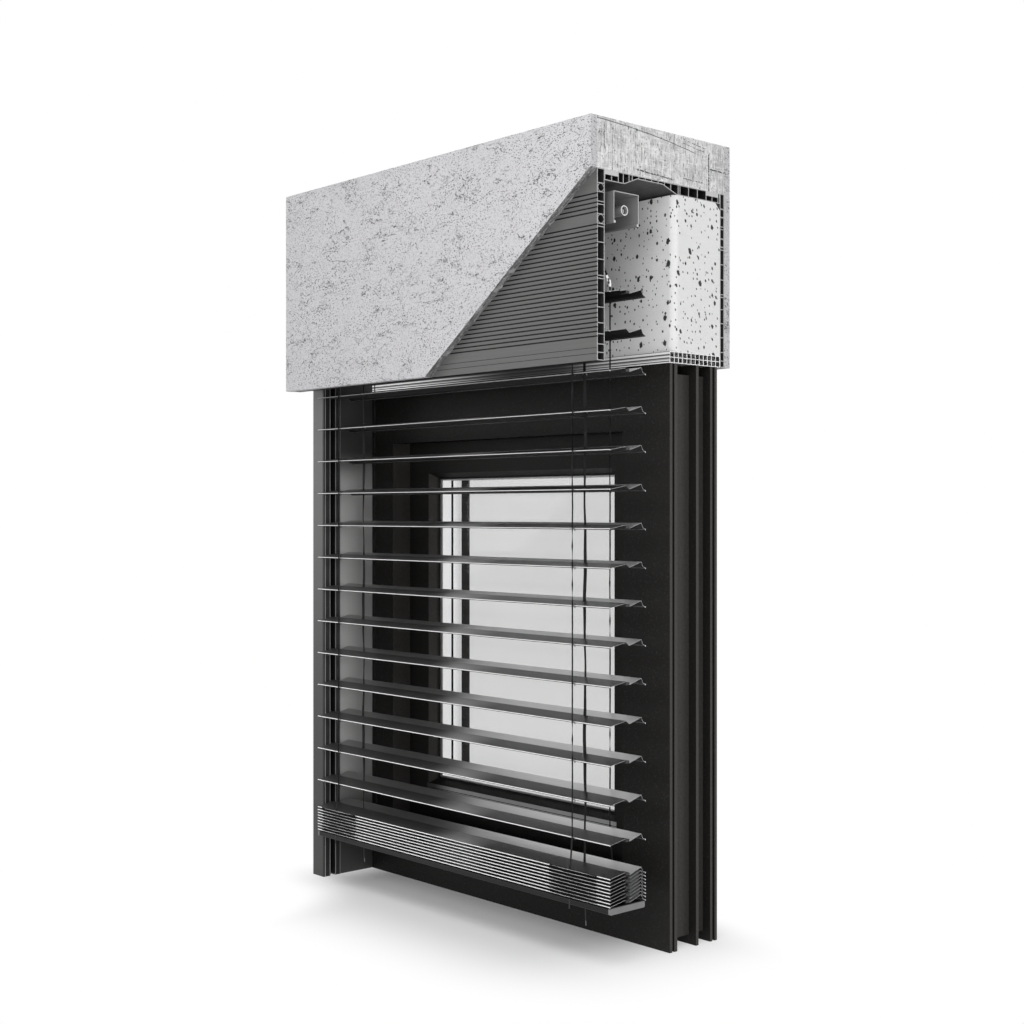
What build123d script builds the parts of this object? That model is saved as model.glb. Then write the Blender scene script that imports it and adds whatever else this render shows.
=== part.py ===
from build123d import *
import os
from math import atan, degrees, sqrt

# Exterior venetian blind in a plastered lintel box, standing in front of its window.
# Millimetres. X runs along the blind, Y from the street to the room, Z up.
# The origin is on the floor, under the middle of the unit.

# Unit
WIDTH = 851
WINDOW_HEIGHT = 969
WINDOW_DEPTH = 118.4

# Layers of the box, from the street to the room
RENDER = 14.2
FRONT_PANEL = 16.6
BLIND_SPACE = 152.2
REAR_GAP = 7.8
REAR_PANEL = 11

# Heights of the box
PANEL_DROP = 7
CLOSURE_HEIGHT = 19
BOX_CLEAR_HEIGHT = 258.5
TOP_PANEL = 17.5
LINTEL_HEIGHT = 82
CUT_WIDTH = 413

# Hollow panels
END_PLATE = 4
PANEL_WALL = 1.4
CELL_HEIGHTS = (20, 12, 13, 3, 13, 13, 3, 22, 24, 23, 3, 20, 20, 22, 15, 14, 11, 10)
PORT_CELLS = (1, 5)
PORT_WALL = 0.8
PORT_SINK = 0.4
PORT_MOUTH = 3
REAR_CELL_HEIGHTS = (23, 13, 14, 3, 14, 13, 3, 23, 24, 23, 3, 19, 22, 22, 23, 13, 9)
TOP_CELL_DEPTHS = (14, 14, 10, 12, 6, 14, 14, 14, 14, 14, 14, 17, 3, 20, 21, 21, 14, 14, 3)
FILLED_CELLS = (0, 1, 16, 17)
TOP_FILL = 8
ARCH_START = 45.2
ARCH_FRONT_SLOPE = 30
ARCH_FLAT = 60
ARCH_REAR_SLOPE = 34
ARCH_RISE = 12
GROOVE_PITCH = 7.3
GROOVE_WIDTH = 2.4
GROOVE_DEPTH = 1.1
UPPER_GROOVES = 5
UPPER_GROOVES_DROP = 40
LOWER_GROOVES = 25
LOWER_GROOVES_DROP = 89
FINE_LINES = (11, 20)
FINE_LINE_WIDTH = 0.8
CLOSURE_WALL = 1.2
CLOSURE_CELL = 10.5
CLOSURE_GROOVE = 2.4
KEY_WIDTH = 2.4
KEY_HEIGHT = 5
KEY_CLEARANCE = 0.3

# Insulation block
BLOCK_SETBACK = 10.2
BLOCK_ROUND = 12
BLOCK_CHAMFER = 12

# Window
FRAME_FACE = 108
FRAME_LANDING = 43
FRAME_REBATE = 62
SIDE_GROOVES = ((6.4, 11.3, 6), (18.4, 65, 16), (71.3, 100.9, 16), (106.5, 112.4, 6))
SASH_GAP = 2
SASH_DEPTH = 97
SASH_REBATE = 168
SASH_SILL = 16.5
GLASS_INSET = 180
BEAD_DEPTH = 21
BEAD_BEVEL = 16
BEAD_REACH = 9.5
BEAD_LIP = 1
PANE = 4
PANE_CAVITY = 22
PANE_CLEARANCE = 4
SPACER_HEIGHT = 10

# Blind
BLIND_STANDOFF = 98.85
SLAT_PROFILE = ((0, 0), (36.2, 6.1), (43.6, 0.4), (71.8, 8.9), (75.5, 1.3), (81.7, -1.5))
SLAT_PIVOT = (40.25, 3.0)
SLAT_GAUGE = 0.45
HEM_RADIUS = 1.2
HEM_SIDES = 8
HANGING_SLATS = 15
TOP_SLAT_DROP = 106.3
LOWEST_PIVOT = 199.3
PACKED_SLATS = 9
PACKED_PITCH = 5.5
SLAT_SIDE_GAP = 7
SLAT_END_SETBACK = 1
TAPE_HOLE_LENGTH = 9.6
TAPE_HOLE_WIDTH = 5

# Slat ends
NIPPLE_LENGTH = 14
NIPPLE_WIDTH = 8
NIPPLE_HEIGHT = 4.4
PIN_RADIUS = 1.5
PIN_SIDES = 8
PIN_END_PROUD = 1
SHOE_LENGTH = 14
SHOE_HEIGHT = 5.2
SHOE_SETBACK = 8
SHOE_PLAY = 0.3
RUNNING_CLEARANCE = 0.05

# Bottom rail
BOTTOM_RAIL_UNDERSIDE = 86
BOTTOM_RAIL_WIDTH = 80
BOTTOM_RAIL_HEIGHT = 10
BOTTOM_RAIL_WALL = 1.6
BOTTOM_RAIL_ROUND = 2.5
BOTTOM_CAP = 4
LUG_RADIUS = 3
LUG_LENGTH = 24

# Guide rail and its carrier
GUIDE_WIDTH = 36
GUIDE_FRONT = 22.15
GUIDE_REAR = 18.25
GUIDE_WALL = 2
SLOT_WIDTH = 11.7
SLOT_DEPTH = 30
SLOT_LINING = 1.2
GUIDE_LINE = 1
LINING_FOOT_GAP = 3
GUIDE_TOP_GAP = 17
CARRIER_RECESS = 1.5
CARRIER_WALL = 2.5

# Head rail
HEAD_RAIL_WIDTH = 57
HEAD_RAIL_HEIGHT = 51
HEAD_RAIL_GAUGE = 1
HEAD_RAIL_LIP = 2.2
HEAD_RAIL_DROP = 13.5
HEAD_RAIL_SHIFT = 4.15
HEAD_CAP = 3
HANGER_LENGTH = 30
HANGER_GAUGE = 2
HANGER_GRIP = 14
HANGER_INSET = 150
HANGER_POST = 20
SEAT_CLEARANCE = 0.3

# Drive in the head rail
SHAFT_DROP = 27.5
SHAFT_FLATS = 12
SHAFT_SETBACK = 10
SLEEVE_RADIUS = 8.25
SLEEVE_LENGTH = 30
SLEEVE_SETBACK = 4
MOTOR_LENGTH = 230
MOTOR_WIDTH = 48
MOTOR_HEIGHT = 40
MOTOR_ROUND = 5
HUB_RADIUS = 9
REEL_RADIUS = 14
REEL_FLANGE_RADIUS = 17
REEL_WIDTH = 12
REEL_FLANGE = 1.2
DRUM_RADIUS = 19.5
DRUM_WIDTH = 8
DRUM_BORE_RADIUS = 7.3
HOUSING_WALL = 4
HOUSING_SIDE = 2.5
HOUSING_FLOOR = 3
FLOOR_WINDOW = 28
HOUSING_HEIGHT = 40
HOUSING_ROOM = 2.5
HUB_PROUD = 1

# Cords and tapes, as distances in from the ends of the unit
LADDER_INSET_RIGHT = 83.5
TAPE_INSET_RIGHT = 98
LADDER_INSET_LEFT = 120
TAPE_INSET_LEFT = 143
CORD_RADIUS = 1.2
CORD_SIDES = 8
CORD_GAP = 0.3
CORD_BEND_HEIGHT = 10
CORD_LOW_BEND = 40
CORD_HIGH_BEND = 12
CORD_HIGH_DROP = 12
CORD_DRUM_GAP = 0.5
TAPE_WIDTH = 8
TAPE_THICKNESS = 0.5

# Stations across the depth
DEPTH = 2 * RENDER + FRONT_PANEL + BLIND_SPACE + WINDOW_DEPTH + REAR_GAP + REAR_PANEL
street_face = -DEPTH / 2
panel_front = street_face + RENDER
space_front = panel_front + FRONT_PANEL
window_front = space_front + BLIND_SPACE
window_rear = window_front + WINDOW_DEPTH
rear_panel_front = window_rear + REAR_GAP
rear_panel_rear = rear_panel_front + REAR_PANEL
room_face = rear_panel_rear + RENDER
blind_y = window_front - BLIND_STANDOFF
shaft_y = blind_y - HEAD_RAIL_SHIFT

# Stations along the width
right_end = WIDTH / 2
left_end = -WIDTH / 2
inner_left = left_end + END_PLATE
guide_face = inner_left + GUIDE_WIDTH
slat_left = guide_face + SLAT_SIDE_GAP
slat_right = right_end - SLAT_END_SETBACK
STATIONS = (
    (right_end - LADDER_INSET_RIGHT, right_end - TAPE_INSET_RIGHT),
    (left_end + LADDER_INSET_LEFT, left_end + TAPE_INSET_LEFT),
)

# Levels
front_panel_foot = WINDOW_HEIGHT - PANEL_DROP
block_foot = WINDOW_HEIGHT + CLOSURE_HEIGHT
ceiling = block_foot + BOX_CLEAR_HEIGHT
lintel_foot = ceiling + TOP_PANEL
lintel_top = lintel_foot + LINTEL_HEIGHT
head_rail_top = ceiling - HEAD_RAIL_DROP
head_rail_foot = head_rail_top - HEAD_RAIL_HEIGHT
shaft_z = head_rail_top - SHAFT_DROP
bottom_rail_top = BOTTOM_RAIL_UNDERSIDE + BOTTOM_RAIL_HEIGHT
hem_reach = SLAT_PIVOT[1] - SLAT_PROFILE[-1][1] + HEM_RADIUS
lowest_packed_pivot = bottom_rail_top + hem_reach
top_pivot = head_rail_foot - TOP_SLAT_DROP
pitch = (top_pivot - LOWEST_PIVOT) / (HANGING_SLATS - 1)


def block(x0, x1, y0, y1, z0, z1):
    """A box between pairs of faces."""
    middle = Pos((x0 + x1) / 2, (y0 + y1) / 2, (z0 + z1) / 2)
    return middle * Box(x1 - x0, y1 - y0, z1 - z0)


def bar(section, x0, x1):
    """A Y-Z section run along X."""
    return extrude(Plane.YZ.offset(x0) * section, amount=x1 - x0)


def rod(radius, x0, x1, y, z):
    """A round bar along X."""
    return bar(Pos(y, z) * Circle(radius), x0, x1)


def row_of_cells(length, shares, wall):
    """The distance of each cell's centre from the end of a hollow panel, and its length."""
    clear = length - wall * (len(shares) + 1)
    start = wall
    cells = []
    for share in shares:
        cell = clear * share / sum(shares)
        cells.append((start + cell / 2, cell))
        start += cell + wall
    return cells


def screw_port(height):
    """An open round port that takes a screw into the end of a panel."""
    outer = height / 2 + PORT_SINK
    ring = Circle(outer) - Circle(outer - PORT_WALL)
    return ring - Pos(height / 2, 0) * Rectangle(height, PORT_MOUTH)


def hollow_upright(depth, height, shares, ports=()):
    """The section of an upright multi-chamber panel."""
    section = Rectangle(depth, height)
    for number, (drop, cell) in enumerate(row_of_cells(height, shares, PANEL_WALL)):
        middle = Pos(0, height / 2 - drop)
        section -= middle * Rectangle(depth - 2 * PANEL_WALL, cell)
        if number in ports:
            section += middle * (screw_port(cell) & Rectangle(depth, height))
    return section


# Plaster and lintel

def front_render():
    """Street-side plaster, cut away along a slant that bares the panel behind it."""
    outline = Polygon(
        (left_end, front_panel_foot),
        (right_end - CUT_WIDTH, front_panel_foot),
        (right_end, lintel_foot),
        (right_end, lintel_top),
        (left_end, lintel_top),
        align=None,
    )
    return extrude(Plane.XZ.offset(-panel_front) * outline, amount=RENDER)


def lintel_block():
    """Reinforced mortar over the box."""
    return block(left_end, right_end, panel_front, rear_panel_rear, lintel_foot, lintel_top)


def rear_render():
    """Room-side plaster."""
    return block(left_end, right_end, rear_panel_rear, room_face, WINDOW_HEIGHT, lintel_top)


# Hollow panels of the box

def front_panel():
    """Grooved multi-chamber panel behind the street plaster."""
    height = lintel_foot - front_panel_foot
    section = hollow_upright(FRONT_PANEL, height, CELL_HEIGHTS, PORT_CELLS)
    top, face = height / 2, -FRONT_PANEL / 2
    levels = [top - UPPER_GROOVES_DROP - k * GROOVE_PITCH for k in range(UPPER_GROOVES)]
    levels += [top - LOWER_GROOVES_DROP - k * GROOVE_PITCH for k in range(LOWER_GROOVES)]
    section -= [Pos(face, level) * Rectangle(2 * GROOVE_DEPTH, GROOVE_WIDTH) for level in levels]
    lines = [Pos(face, line - top) * Rectangle(GROOVE_DEPTH, FINE_LINE_WIDTH) for line in FINE_LINES]
    section -= lines
    middle = Pos(panel_front + FRONT_PANEL / 2, (lintel_foot + front_panel_foot) / 2)
    return bar(middle * section, inner_left, right_end)


def rear_panel():
    """Multi-chamber panel behind the insulation."""
    height = lintel_foot - WINDOW_HEIGHT
    section = hollow_upright(REAR_PANEL, height, REAR_CELL_HEIGHTS, PORT_CELLS)
    middle = Pos(rear_panel_front + REAR_PANEL / 2, (lintel_foot + WINDOW_HEIGHT) / 2)
    return bar(middle * section, inner_left, right_end)


def top_panel():
    """Multi-chamber ceiling with a shallow arch over the head rail."""
    a = space_front + ARCH_START
    b = a + ARCH_FRONT_SLOPE
    c = b + ARCH_FLAT
    d = c + ARCH_REAR_SLOPE
    section = Polygon(
        (space_front, ceiling),
        (a, ceiling),
        (b, ceiling + ARCH_RISE),
        (c, ceiling + ARCH_RISE),
        (d, ceiling),
        (rear_panel_front, ceiling),
        (rear_panel_front, lintel_foot),
        (space_front, lintel_foot),
        align=None,
    )
    room = offset(section, amount=-PANEL_WALL, kind=Kind.INTERSECTION)
    depth = rear_panel_front - space_front
    for number, (station, cell) in enumerate(row_of_cells(depth, TOP_CELL_DEPTHS, PANEL_WALL)):
        height = TOP_PANEL - TOP_FILL if number in FILLED_CELLS else TOP_PANEL
        section -= Pos(space_front + station, ceiling + height / 2) * Rectangle(cell, height) & room
    key = Pos(key_station(), ceiling - (KEY_HEIGHT - KEY_CLEARANCE) / 2)
    section += key * Rectangle(KEY_WIDTH - 2 * KEY_CLEARANCE, KEY_HEIGHT - KEY_CLEARANCE)
    return bar(section, inner_left, right_end)


def key_station():
    """Where the ceiling and the closure key into the insulation."""
    return (window_front + BLOCK_SETBACK + rear_panel_front) / 2


def closure_profile():
    """Two rows of small chambers that close the box over the window."""
    depth = rear_panel_front - window_front
    middle = Pos(window_front + depth / 2, WINDOW_HEIGHT + CLOSURE_HEIGHT / 2)
    section = middle * Rectangle(depth, CLOSURE_HEIGHT)
    count = round(depth / CLOSURE_CELL)
    cell = (depth - CLOSURE_WALL) / count - CLOSURE_WALL
    row = (CLOSURE_HEIGHT - 3 * CLOSURE_WALL) / 2
    for k in range(count):
        y = window_front + CLOSURE_WALL + cell / 2 + k * (cell + CLOSURE_WALL)
        for level in (CLOSURE_WALL + row / 2, 2 * CLOSURE_WALL + 1.5 * row):
            section -= Pos(y, WINDOW_HEIGHT + level) * Rectangle(cell, row)
    for third in (1, 2):
        level = WINDOW_HEIGHT + third * CLOSURE_HEIGHT / 3
        section -= Pos(window_front, level) * Rectangle(CLOSURE_WALL, CLOSURE_GROOVE)
    key = Pos(key_station(), block_foot + (KEY_HEIGHT - KEY_CLEARANCE) / 2)
    section += key * Rectangle(KEY_WIDTH - 2 * KEY_CLEARANCE, KEY_HEIGHT - KEY_CLEARANCE)
    return bar(section, inner_left, right_end)


def insulation_block():
    """Foam block that fills the room side of the box."""
    front = window_front + BLOCK_SETBACK
    body = block(inner_left, right_end, front, rear_panel_front, block_foot, ceiling)
    upright = body.edges().filter_by(Axis.Z).group_by(Axis.Y)[0].sort_by(Axis.X)[-1]
    body = fillet(upright, BLOCK_ROUND)
    lying = body.edges().filter_by(Axis.X).group_by(Axis.Y)[-1].sort_by(Axis.Z)[-1]
    body = chamfer(lying, BLOCK_CHAMFER)
    for level in (block_foot, ceiling):
        body -= block(
            inner_left,
            right_end,
            key_station() - KEY_WIDTH / 2,
            key_station() + KEY_WIDTH / 2,
            level - KEY_HEIGHT,
            level + KEY_HEIGHT,
        )
    return body


def end_plate():
    """Cap over the hidden end of the box."""
    return block(left_end, inner_left, panel_front, rear_panel_rear, WINDOW_HEIGHT, lintel_foot)


# Window

def window_block(inset, front, rear, sill=0):
    """A block set in from the window's outline, its foot raised by a sill."""
    return block(left_end + inset, right_end - inset, front, rear, inset + sill, WINDOW_HEIGHT - inset)


def window_ring(outer_inset, inner_inset, front, rear, outer_sill=0, inner_sill=0):
    """A rectangular frame, its edges set in from the window's outline."""
    depth = rear - front
    outside = window_block(outer_inset, front, rear, outer_sill)
    return outside - window_block(inner_inset, front - depth, rear + depth, inner_sill)


landing = window_front + FRAME_LANDING
sash_rear = landing + SASH_DEPTH
glass_front = landing + BEAD_DEPTH
glass_rear = glass_front + 2 * PANE + PANE_CAVITY


def window_frame():
    """Outer frame with grooves and deep recesses round its edge."""
    frame = window_ring(0, FRAME_FACE, window_front, landing)
    frame += window_ring(0, FRAME_REBATE, landing, window_rear)
    for start, end, depth in SIDE_GROOVES:
        frame -= window_ring(-depth, depth, window_front + start, window_front + end)
    return frame


def sash_frame():
    """Fixed sash that holds the glass."""
    sash = window_ring(FRAME_REBATE + SASH_GAP, SASH_REBATE, landing, sash_rear, 0, SASH_SILL)
    return sash + window_ring(SASH_REBATE, GLASS_INSET, glass_rear, sash_rear, SASH_SILL, SASH_SILL)


def glazing_bead():
    """Bevelled bead that holds the glass from the street side."""
    inner_inset = SASH_REBATE + BEAD_REACH
    bead = window_ring(SASH_REBATE, inner_inset, landing, glass_front, SASH_SILL, SASH_SILL)
    middle = (WINDOW_HEIGHT + SASH_SILL) / 2
    mouth = Plane(origin=(0, landing, middle), x_dir=(1, 0, 0), z_dir=(0, 1, 0))
    opening = Rectangle(WIDTH - 2 * SASH_REBATE, WINDOW_HEIGHT - SASH_SILL - 2 * SASH_REBATE)
    angle = degrees(atan((BEAD_REACH - BEAD_LIP) / BEAD_BEVEL))
    return bead - extrude(mouth * opening, amount=BEAD_BEVEL, taper=angle)


def pane(front):
    """One sheet of glass."""
    return window_block(SASH_REBATE + PANE_CLEARANCE, front, front + PANE, SASH_SILL)


def glass_panes():
    """Both sheets of the sealed unit."""
    return [pane(glass_front), pane(glass_rear - PANE)]


def pane_spacer():
    """Spacer between the sheets."""
    inset = SASH_REBATE + PANE_CLEARANCE
    front, rear = glass_front + PANE, glass_rear - PANE
    return window_ring(inset, inset + SPACER_HEIGHT, front, rear, SASH_SILL, SASH_SILL)


# Guide rail

guide_front = blind_y - GUIDE_FRONT
guide_rear = blind_y + GUIDE_REAR
guide_top = head_rail_foot - GUIDE_TOP_GAP


def guide_rail():
    """Extrusion with an open slot for the shoes and a hollow on each side of it."""
    middle = (inner_left + guide_face) / 2
    section = Pos(middle, (guide_front + guide_rear) / 2) * Rectangle(GUIDE_WIDTH, guide_rear - guide_front)
    slot = Pos(guide_face - SLOT_DEPTH / 2, blind_y)
    section -= slot * Rectangle(SLOT_DEPTH, SLOT_WIDTH)
    for y0, y1 in ((guide_front, blind_y - SLOT_WIDTH / 2), (blind_y + SLOT_WIDTH / 2, guide_rear)):
        hollow = Rectangle(GUIDE_WIDTH - 2 * GUIDE_WALL, y1 - y0 - 2 * GUIDE_WALL)
        section -= Pos(middle, (y0 + y1) / 2) * hollow
        section -= Pos(guide_face, (y0 + y1) / 2) * Rectangle(GUIDE_LINE, GUIDE_LINE)
    return extrude(section, amount=guide_top)


def rail_lining():
    """Soft lining of the slot."""
    outer = Pos(guide_face - SLOT_DEPTH / 2, blind_y) * Rectangle(SLOT_DEPTH, SLOT_WIDTH)
    inner = Pos(guide_face - (SLOT_DEPTH - SLOT_LINING) / 2, blind_y)
    section = outer - inner * Rectangle(SLOT_DEPTH - SLOT_LINING, SLOT_WIDTH - 2 * SLOT_LINING)
    return Pos(0, 0, LINING_FOOT_GAP) * extrude(section, amount=guide_top - LINING_FOOT_GAP)


def rail_carrier():
    """Box section that carries the guide rail off the window."""
    width = GUIDE_WIDTH - CARRIER_RECESS
    depth = window_front - guide_rear
    section = Rectangle(width, depth) - Rectangle(width - 2 * CARRIER_WALL, depth - 2 * CARRIER_WALL)
    return extrude(Pos(inner_left + width / 2, guide_rear + depth / 2) * section, amount=block_foot)


# Slats

def slat_section():
    """Thin folded section with a hem along each edge, about its pivot."""
    points = [(y - SLAT_PIVOT[0], z - SLAT_PIVOT[1]) for y, z in SLAT_PROFILE]
    outline = offset(Polyline(*points), amount=SLAT_GAUGE, side=Side.LEFT, kind=Kind.INTERSECTION)
    hem = RegularPolygon(HEM_RADIUS, HEM_SIDES)
    hems = [Pos(*point) * hem for point in (points[0], points[-1])]
    return make_face(outline) + hems


def slat_sheet(right_nipple):
    """A slat with its punched tape holes and end notches, about its pivot."""
    sheet = bar(slat_section(), slat_left, slat_right)
    reach = SLAT_PROFILE[-1][0]
    half_width, half_hole = NIPPLE_WIDTH / 2, TAPE_HOLE_WIDTH / 2
    for _, tape_x in STATIONS:
        half = TAPE_HOLE_LENGTH / 2
        sheet -= block(tape_x - half, tape_x + half, -half_hole, half_hole, -reach, reach)
    sheet -= block(slat_left, slat_left + NIPPLE_LENGTH, -half_width, half_width, -reach, reach)
    if right_nipple:
        sheet -= block(slat_right - NIPPLE_LENGTH, slat_right, -half_width, half_width, -reach, reach)
    return sheet


def nipple(x0):
    """Small block that fills a notch in the end of a slat."""
    half_width, half_height = NIPPLE_WIDTH / 2, NIPPLE_HEIGHT / 2
    return block(x0, x0 + NIPPLE_LENGTH, -half_width, half_width, -half_height, half_height)


shoe_right = guide_face - SHOE_SETBACK
shoe_left = shoe_right - SHOE_LENGTH


def guide_pin():
    """Nipple at the guided end, with the pin that turns in a shoe."""
    pin = RegularPolygon(PIN_RADIUS, PIN_SIDES)
    return nipple(slat_left) + bar(pin, shoe_left - PIN_END_PROUD, slat_left)


def has_right_nipple(number):
    """Every second slat has a nipple at its free end too."""
    return number % 2 == 1


SHEETS = {True: slat_sheet(True), False: slat_sheet(False)}


def slat(number, pivot_z):
    """One slat, counted from the lowest, with its guide pin and end nipple."""
    place = Pos(0, blind_y, pivot_z)
    solids = [place * SHEETS[has_right_nipple(number)], place * guide_pin()]
    if has_right_nipple(number):
        solids.append(place * nipple(slat_right - NIPPLE_LENGTH))
    return solids


def guide_shoe(pivot_z):
    """Sliding shoe that the pin of a slat turns in."""
    width = SLOT_WIDTH - 2 * SLOT_LINING - 2 * SHOE_PLAY
    shoe = Box(SHOE_LENGTH, width, SHOE_HEIGHT)
    shoe = chamfer(shoe.edges().filter_by(Axis.Y), 1)
    shoe = Pos((shoe_left + shoe_right) / 2, blind_y, pivot_z) * shoe
    bore = RegularPolygon(PIN_RADIUS + RUNNING_CLEARANCE, PIN_SIDES, major_radius=False)
    return shoe - bar(Pos(blind_y, pivot_z) * bore, shoe_left, shoe_right)


def hanging_pivot(number):
    """Height of a hanging slat's pivot, counted from the lowest."""
    return LOWEST_PIVOT + (number - 1) * pitch


def packed_slats():
    """The slats that lie stacked on the bottom rail."""
    solids = []
    for number in range(1, PACKED_SLATS + 1):
        solids += slat(number, lowest_packed_pivot + (number - 1) * PACKED_PITCH)
    return solids


# Bottom rail

def bottom_rail():
    """Hollow rail that weighs the blind down."""
    outer = RectangleRounded(BOTTOM_RAIL_WIDTH, BOTTOM_RAIL_HEIGHT, BOTTOM_RAIL_ROUND)
    cell = (BOTTOM_RAIL_WIDTH - 4 * BOTTOM_RAIL_WALL) / 3
    for k in (-1, 0, 1):
        room = Rectangle(cell, BOTTOM_RAIL_HEIGHT - 2 * BOTTOM_RAIL_WALL)
        outer -= Pos(k * (cell + BOTTOM_RAIL_WALL), 0) * room
    place = Pos(blind_y, BOTTOM_RAIL_UNDERSIDE + BOTTOM_RAIL_HEIGHT / 2)
    return bar(place * outer, slat_left + BOTTOM_CAP, slat_right - BOTTOM_CAP)


def bottom_rail_caps():
    """End caps of the bottom rail. The left one carries the guide lug."""
    face = RectangleRounded(BOTTOM_RAIL_WIDTH, BOTTOM_RAIL_HEIGHT, BOTTOM_RAIL_ROUND)
    level = BOTTOM_RAIL_UNDERSIDE + BOTTOM_RAIL_HEIGHT / 2
    place = Pos(blind_y, level)
    left = bar(place * face, slat_left, slat_left + BOTTOM_CAP)
    left += rod(LUG_RADIUS, slat_left - LUG_LENGTH, slat_left, blind_y, level)
    return [left, bar(place * face, slat_right - BOTTOM_CAP, slat_right)]


# Head rail

def head_rail():
    """Channel open downwards, with a rolled lip along each lower edge."""
    half = HEAD_RAIL_WIDTH / 2
    outer = Pos(0, -HEAD_RAIL_HEIGHT / 2) * Rectangle(HEAD_RAIL_WIDTH, HEAD_RAIL_HEIGHT)
    room_width = HEAD_RAIL_WIDTH - 2 * HEAD_RAIL_GAUGE
    room = Pos(0, -HEAD_RAIL_GAUGE - HEAD_RAIL_HEIGHT / 2) * Rectangle(room_width, HEAD_RAIL_HEIGHT)
    section = outer - room
    for side in (-1, 1):
        lip = Pos(side * (half - HEAD_RAIL_LIP), HEAD_RAIL_LIP - HEAD_RAIL_HEIGHT)
        section += lip * Circle(HEAD_RAIL_LIP)
    return bar(Pos(shaft_y, head_rail_top) * section, inner_left + HEAD_CAP, right_end)


def head_rail_cap():
    """Plate over the hidden end of the head rail."""
    half = HEAD_RAIL_WIDTH / 2
    return block(
        inner_left, inner_left + HEAD_CAP, shaft_y - half, shaft_y + half, head_rail_foot, head_rail_top
    )


def rail_hangers():
    """Clips over the head rail, each with a post up to the ceiling."""
    hangers = []
    outer = HEAD_RAIL_WIDTH + 2 * HANGER_GAUGE
    for middle in (left_end + HANGER_INSET, 0, right_end - HANGER_INSET):
        x0 = middle - HANGER_LENGTH / 2
        x1 = x0 + HANGER_LENGTH
        clip = block(
            x0,
            x1,
            shaft_y - outer / 2,
            shaft_y + outer / 2,
            head_rail_top - HANGER_GRIP,
            head_rail_top + HANGER_GAUGE,
        )
        half = HEAD_RAIL_WIDTH / 2
        clip -= block(x0, x1, shaft_y - half, shaft_y + half, head_rail_foot, head_rail_top)
        post = shaft_y - outer / 2
        clip += block(x0, x1, post, post + HANGER_POST, head_rail_top + HANGER_GAUGE, ceiling)
        hangers.append(clip)
    return hangers


# Drive

def hexagon():
    """Section of the drive shaft."""
    return Pos(shaft_y, shaft_z) * RegularPolygon(SHAFT_FLATS / 2, 6, major_radius=False)


def station_walls(ladder_x, tape_x):
    """The direction from tape to ladder, and the inner faces of a housing's end walls."""
    side = 1 if ladder_x > tape_x else -1
    tape_wall = tape_x - side * (REEL_WIDTH / 2 + HOUSING_ROOM)
    ladder_wall = ladder_x + side * (DRUM_WIDTH / 2 + HOUSING_ROOM)
    return side, tape_wall, ladder_wall


def span(a, b):
    """Two stations, the lower first."""
    return min(a, b), max(a, b)


housing_foot = head_rail_foot + 2 * HEAD_RAIL_LIP
housing_half = HEAD_RAIL_WIDTH / 2 - HEAD_RAIL_GAUGE


def bearing_housing(ladder_x, tape_x):
    """Open cradle that carries a tape reel and a tilt drum."""
    side, tape_wall, ladder_wall = station_walls(ladder_x, tape_x)
    x0, x1 = span(tape_wall - side * HOUSING_WALL, ladder_wall + side * HOUSING_WALL)
    top = housing_foot + HOUSING_HEIGHT
    housing = block(x0, x1, shaft_y - housing_half, shaft_y + housing_half, housing_foot, top)
    inner = housing_half - HOUSING_SIDE
    r0, r1 = span(tape_wall, ladder_wall)
    floor = housing_foot + HOUSING_FLOOR
    housing -= block(r0, r1, shaft_y - inner, shaft_y + inner, floor, top)
    housing -= rod(HUB_RADIUS + RUNNING_CLEARANCE, x0, x1, shaft_y, shaft_z)
    hole = 2 * CORD_RADIUS
    for y in (shaft_y - drum_reach(), shaft_y + drum_reach()):
        housing -= block(ladder_x - hole, ladder_x + hole, y - hole, y + hole, housing_foot, floor)
    half = FLOOR_WINDOW / 2
    return housing - block(r0, r1, shaft_y - half, shaft_y + half, housing_foot, floor)


def bearing_housings():
    """One cradle at each station."""
    return [bearing_housing(*station) for station in STATIONS]


def tape_reel(ladder_x, tape_x):
    """Reel with a flange each side and a hub that runs in the housing wall."""
    side, tape_wall, _ = station_walls(ladder_x, tape_x)
    x0, x1 = tape_x - REEL_WIDTH / 2, tape_x + REEL_WIDTH / 2
    reel = rod(REEL_RADIUS, x0, x1, shaft_y, shaft_z)
    reel += rod(REEL_FLANGE_RADIUS, x0, x0 + REEL_FLANGE, shaft_y, shaft_z)
    reel += rod(REEL_FLANGE_RADIUS, x1 - REEL_FLANGE, x1, shaft_y, shaft_z)
    h0, h1 = span(tape_x, tape_wall - side * (HOUSING_WALL + HUB_PROUD))
    reel += rod(HUB_RADIUS, h0, h1, shaft_y, shaft_z)
    return reel - bar(hexagon(), min(h0, x0), max(h1, x1))


def tape_reels():
    """One reel at each station."""
    return [tape_reel(*station) for station in STATIONS]


def tilt_drum(ladder_x, tape_x):
    """Drum that turns round the shaft and draws the ladder cords."""
    side, _, ladder_wall = station_walls(ladder_x, tape_x)
    x0, x1 = ladder_x - DRUM_WIDTH / 2, ladder_x + DRUM_WIDTH / 2
    drum = rod(DRUM_RADIUS, x0, x1, shaft_y, shaft_z)
    h0, h1 = span(ladder_x, ladder_wall + side * (HOUSING_WALL + HUB_PROUD))
    drum += rod(HUB_RADIUS, h0, h1, shaft_y, shaft_z)
    return drum - rod(DRUM_BORE_RADIUS, min(h0, x0), max(h1, x1), shaft_y, shaft_z)


def tilt_drums():
    """One drum at each station."""
    return [tilt_drum(*station) for station in STATIONS]


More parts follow.
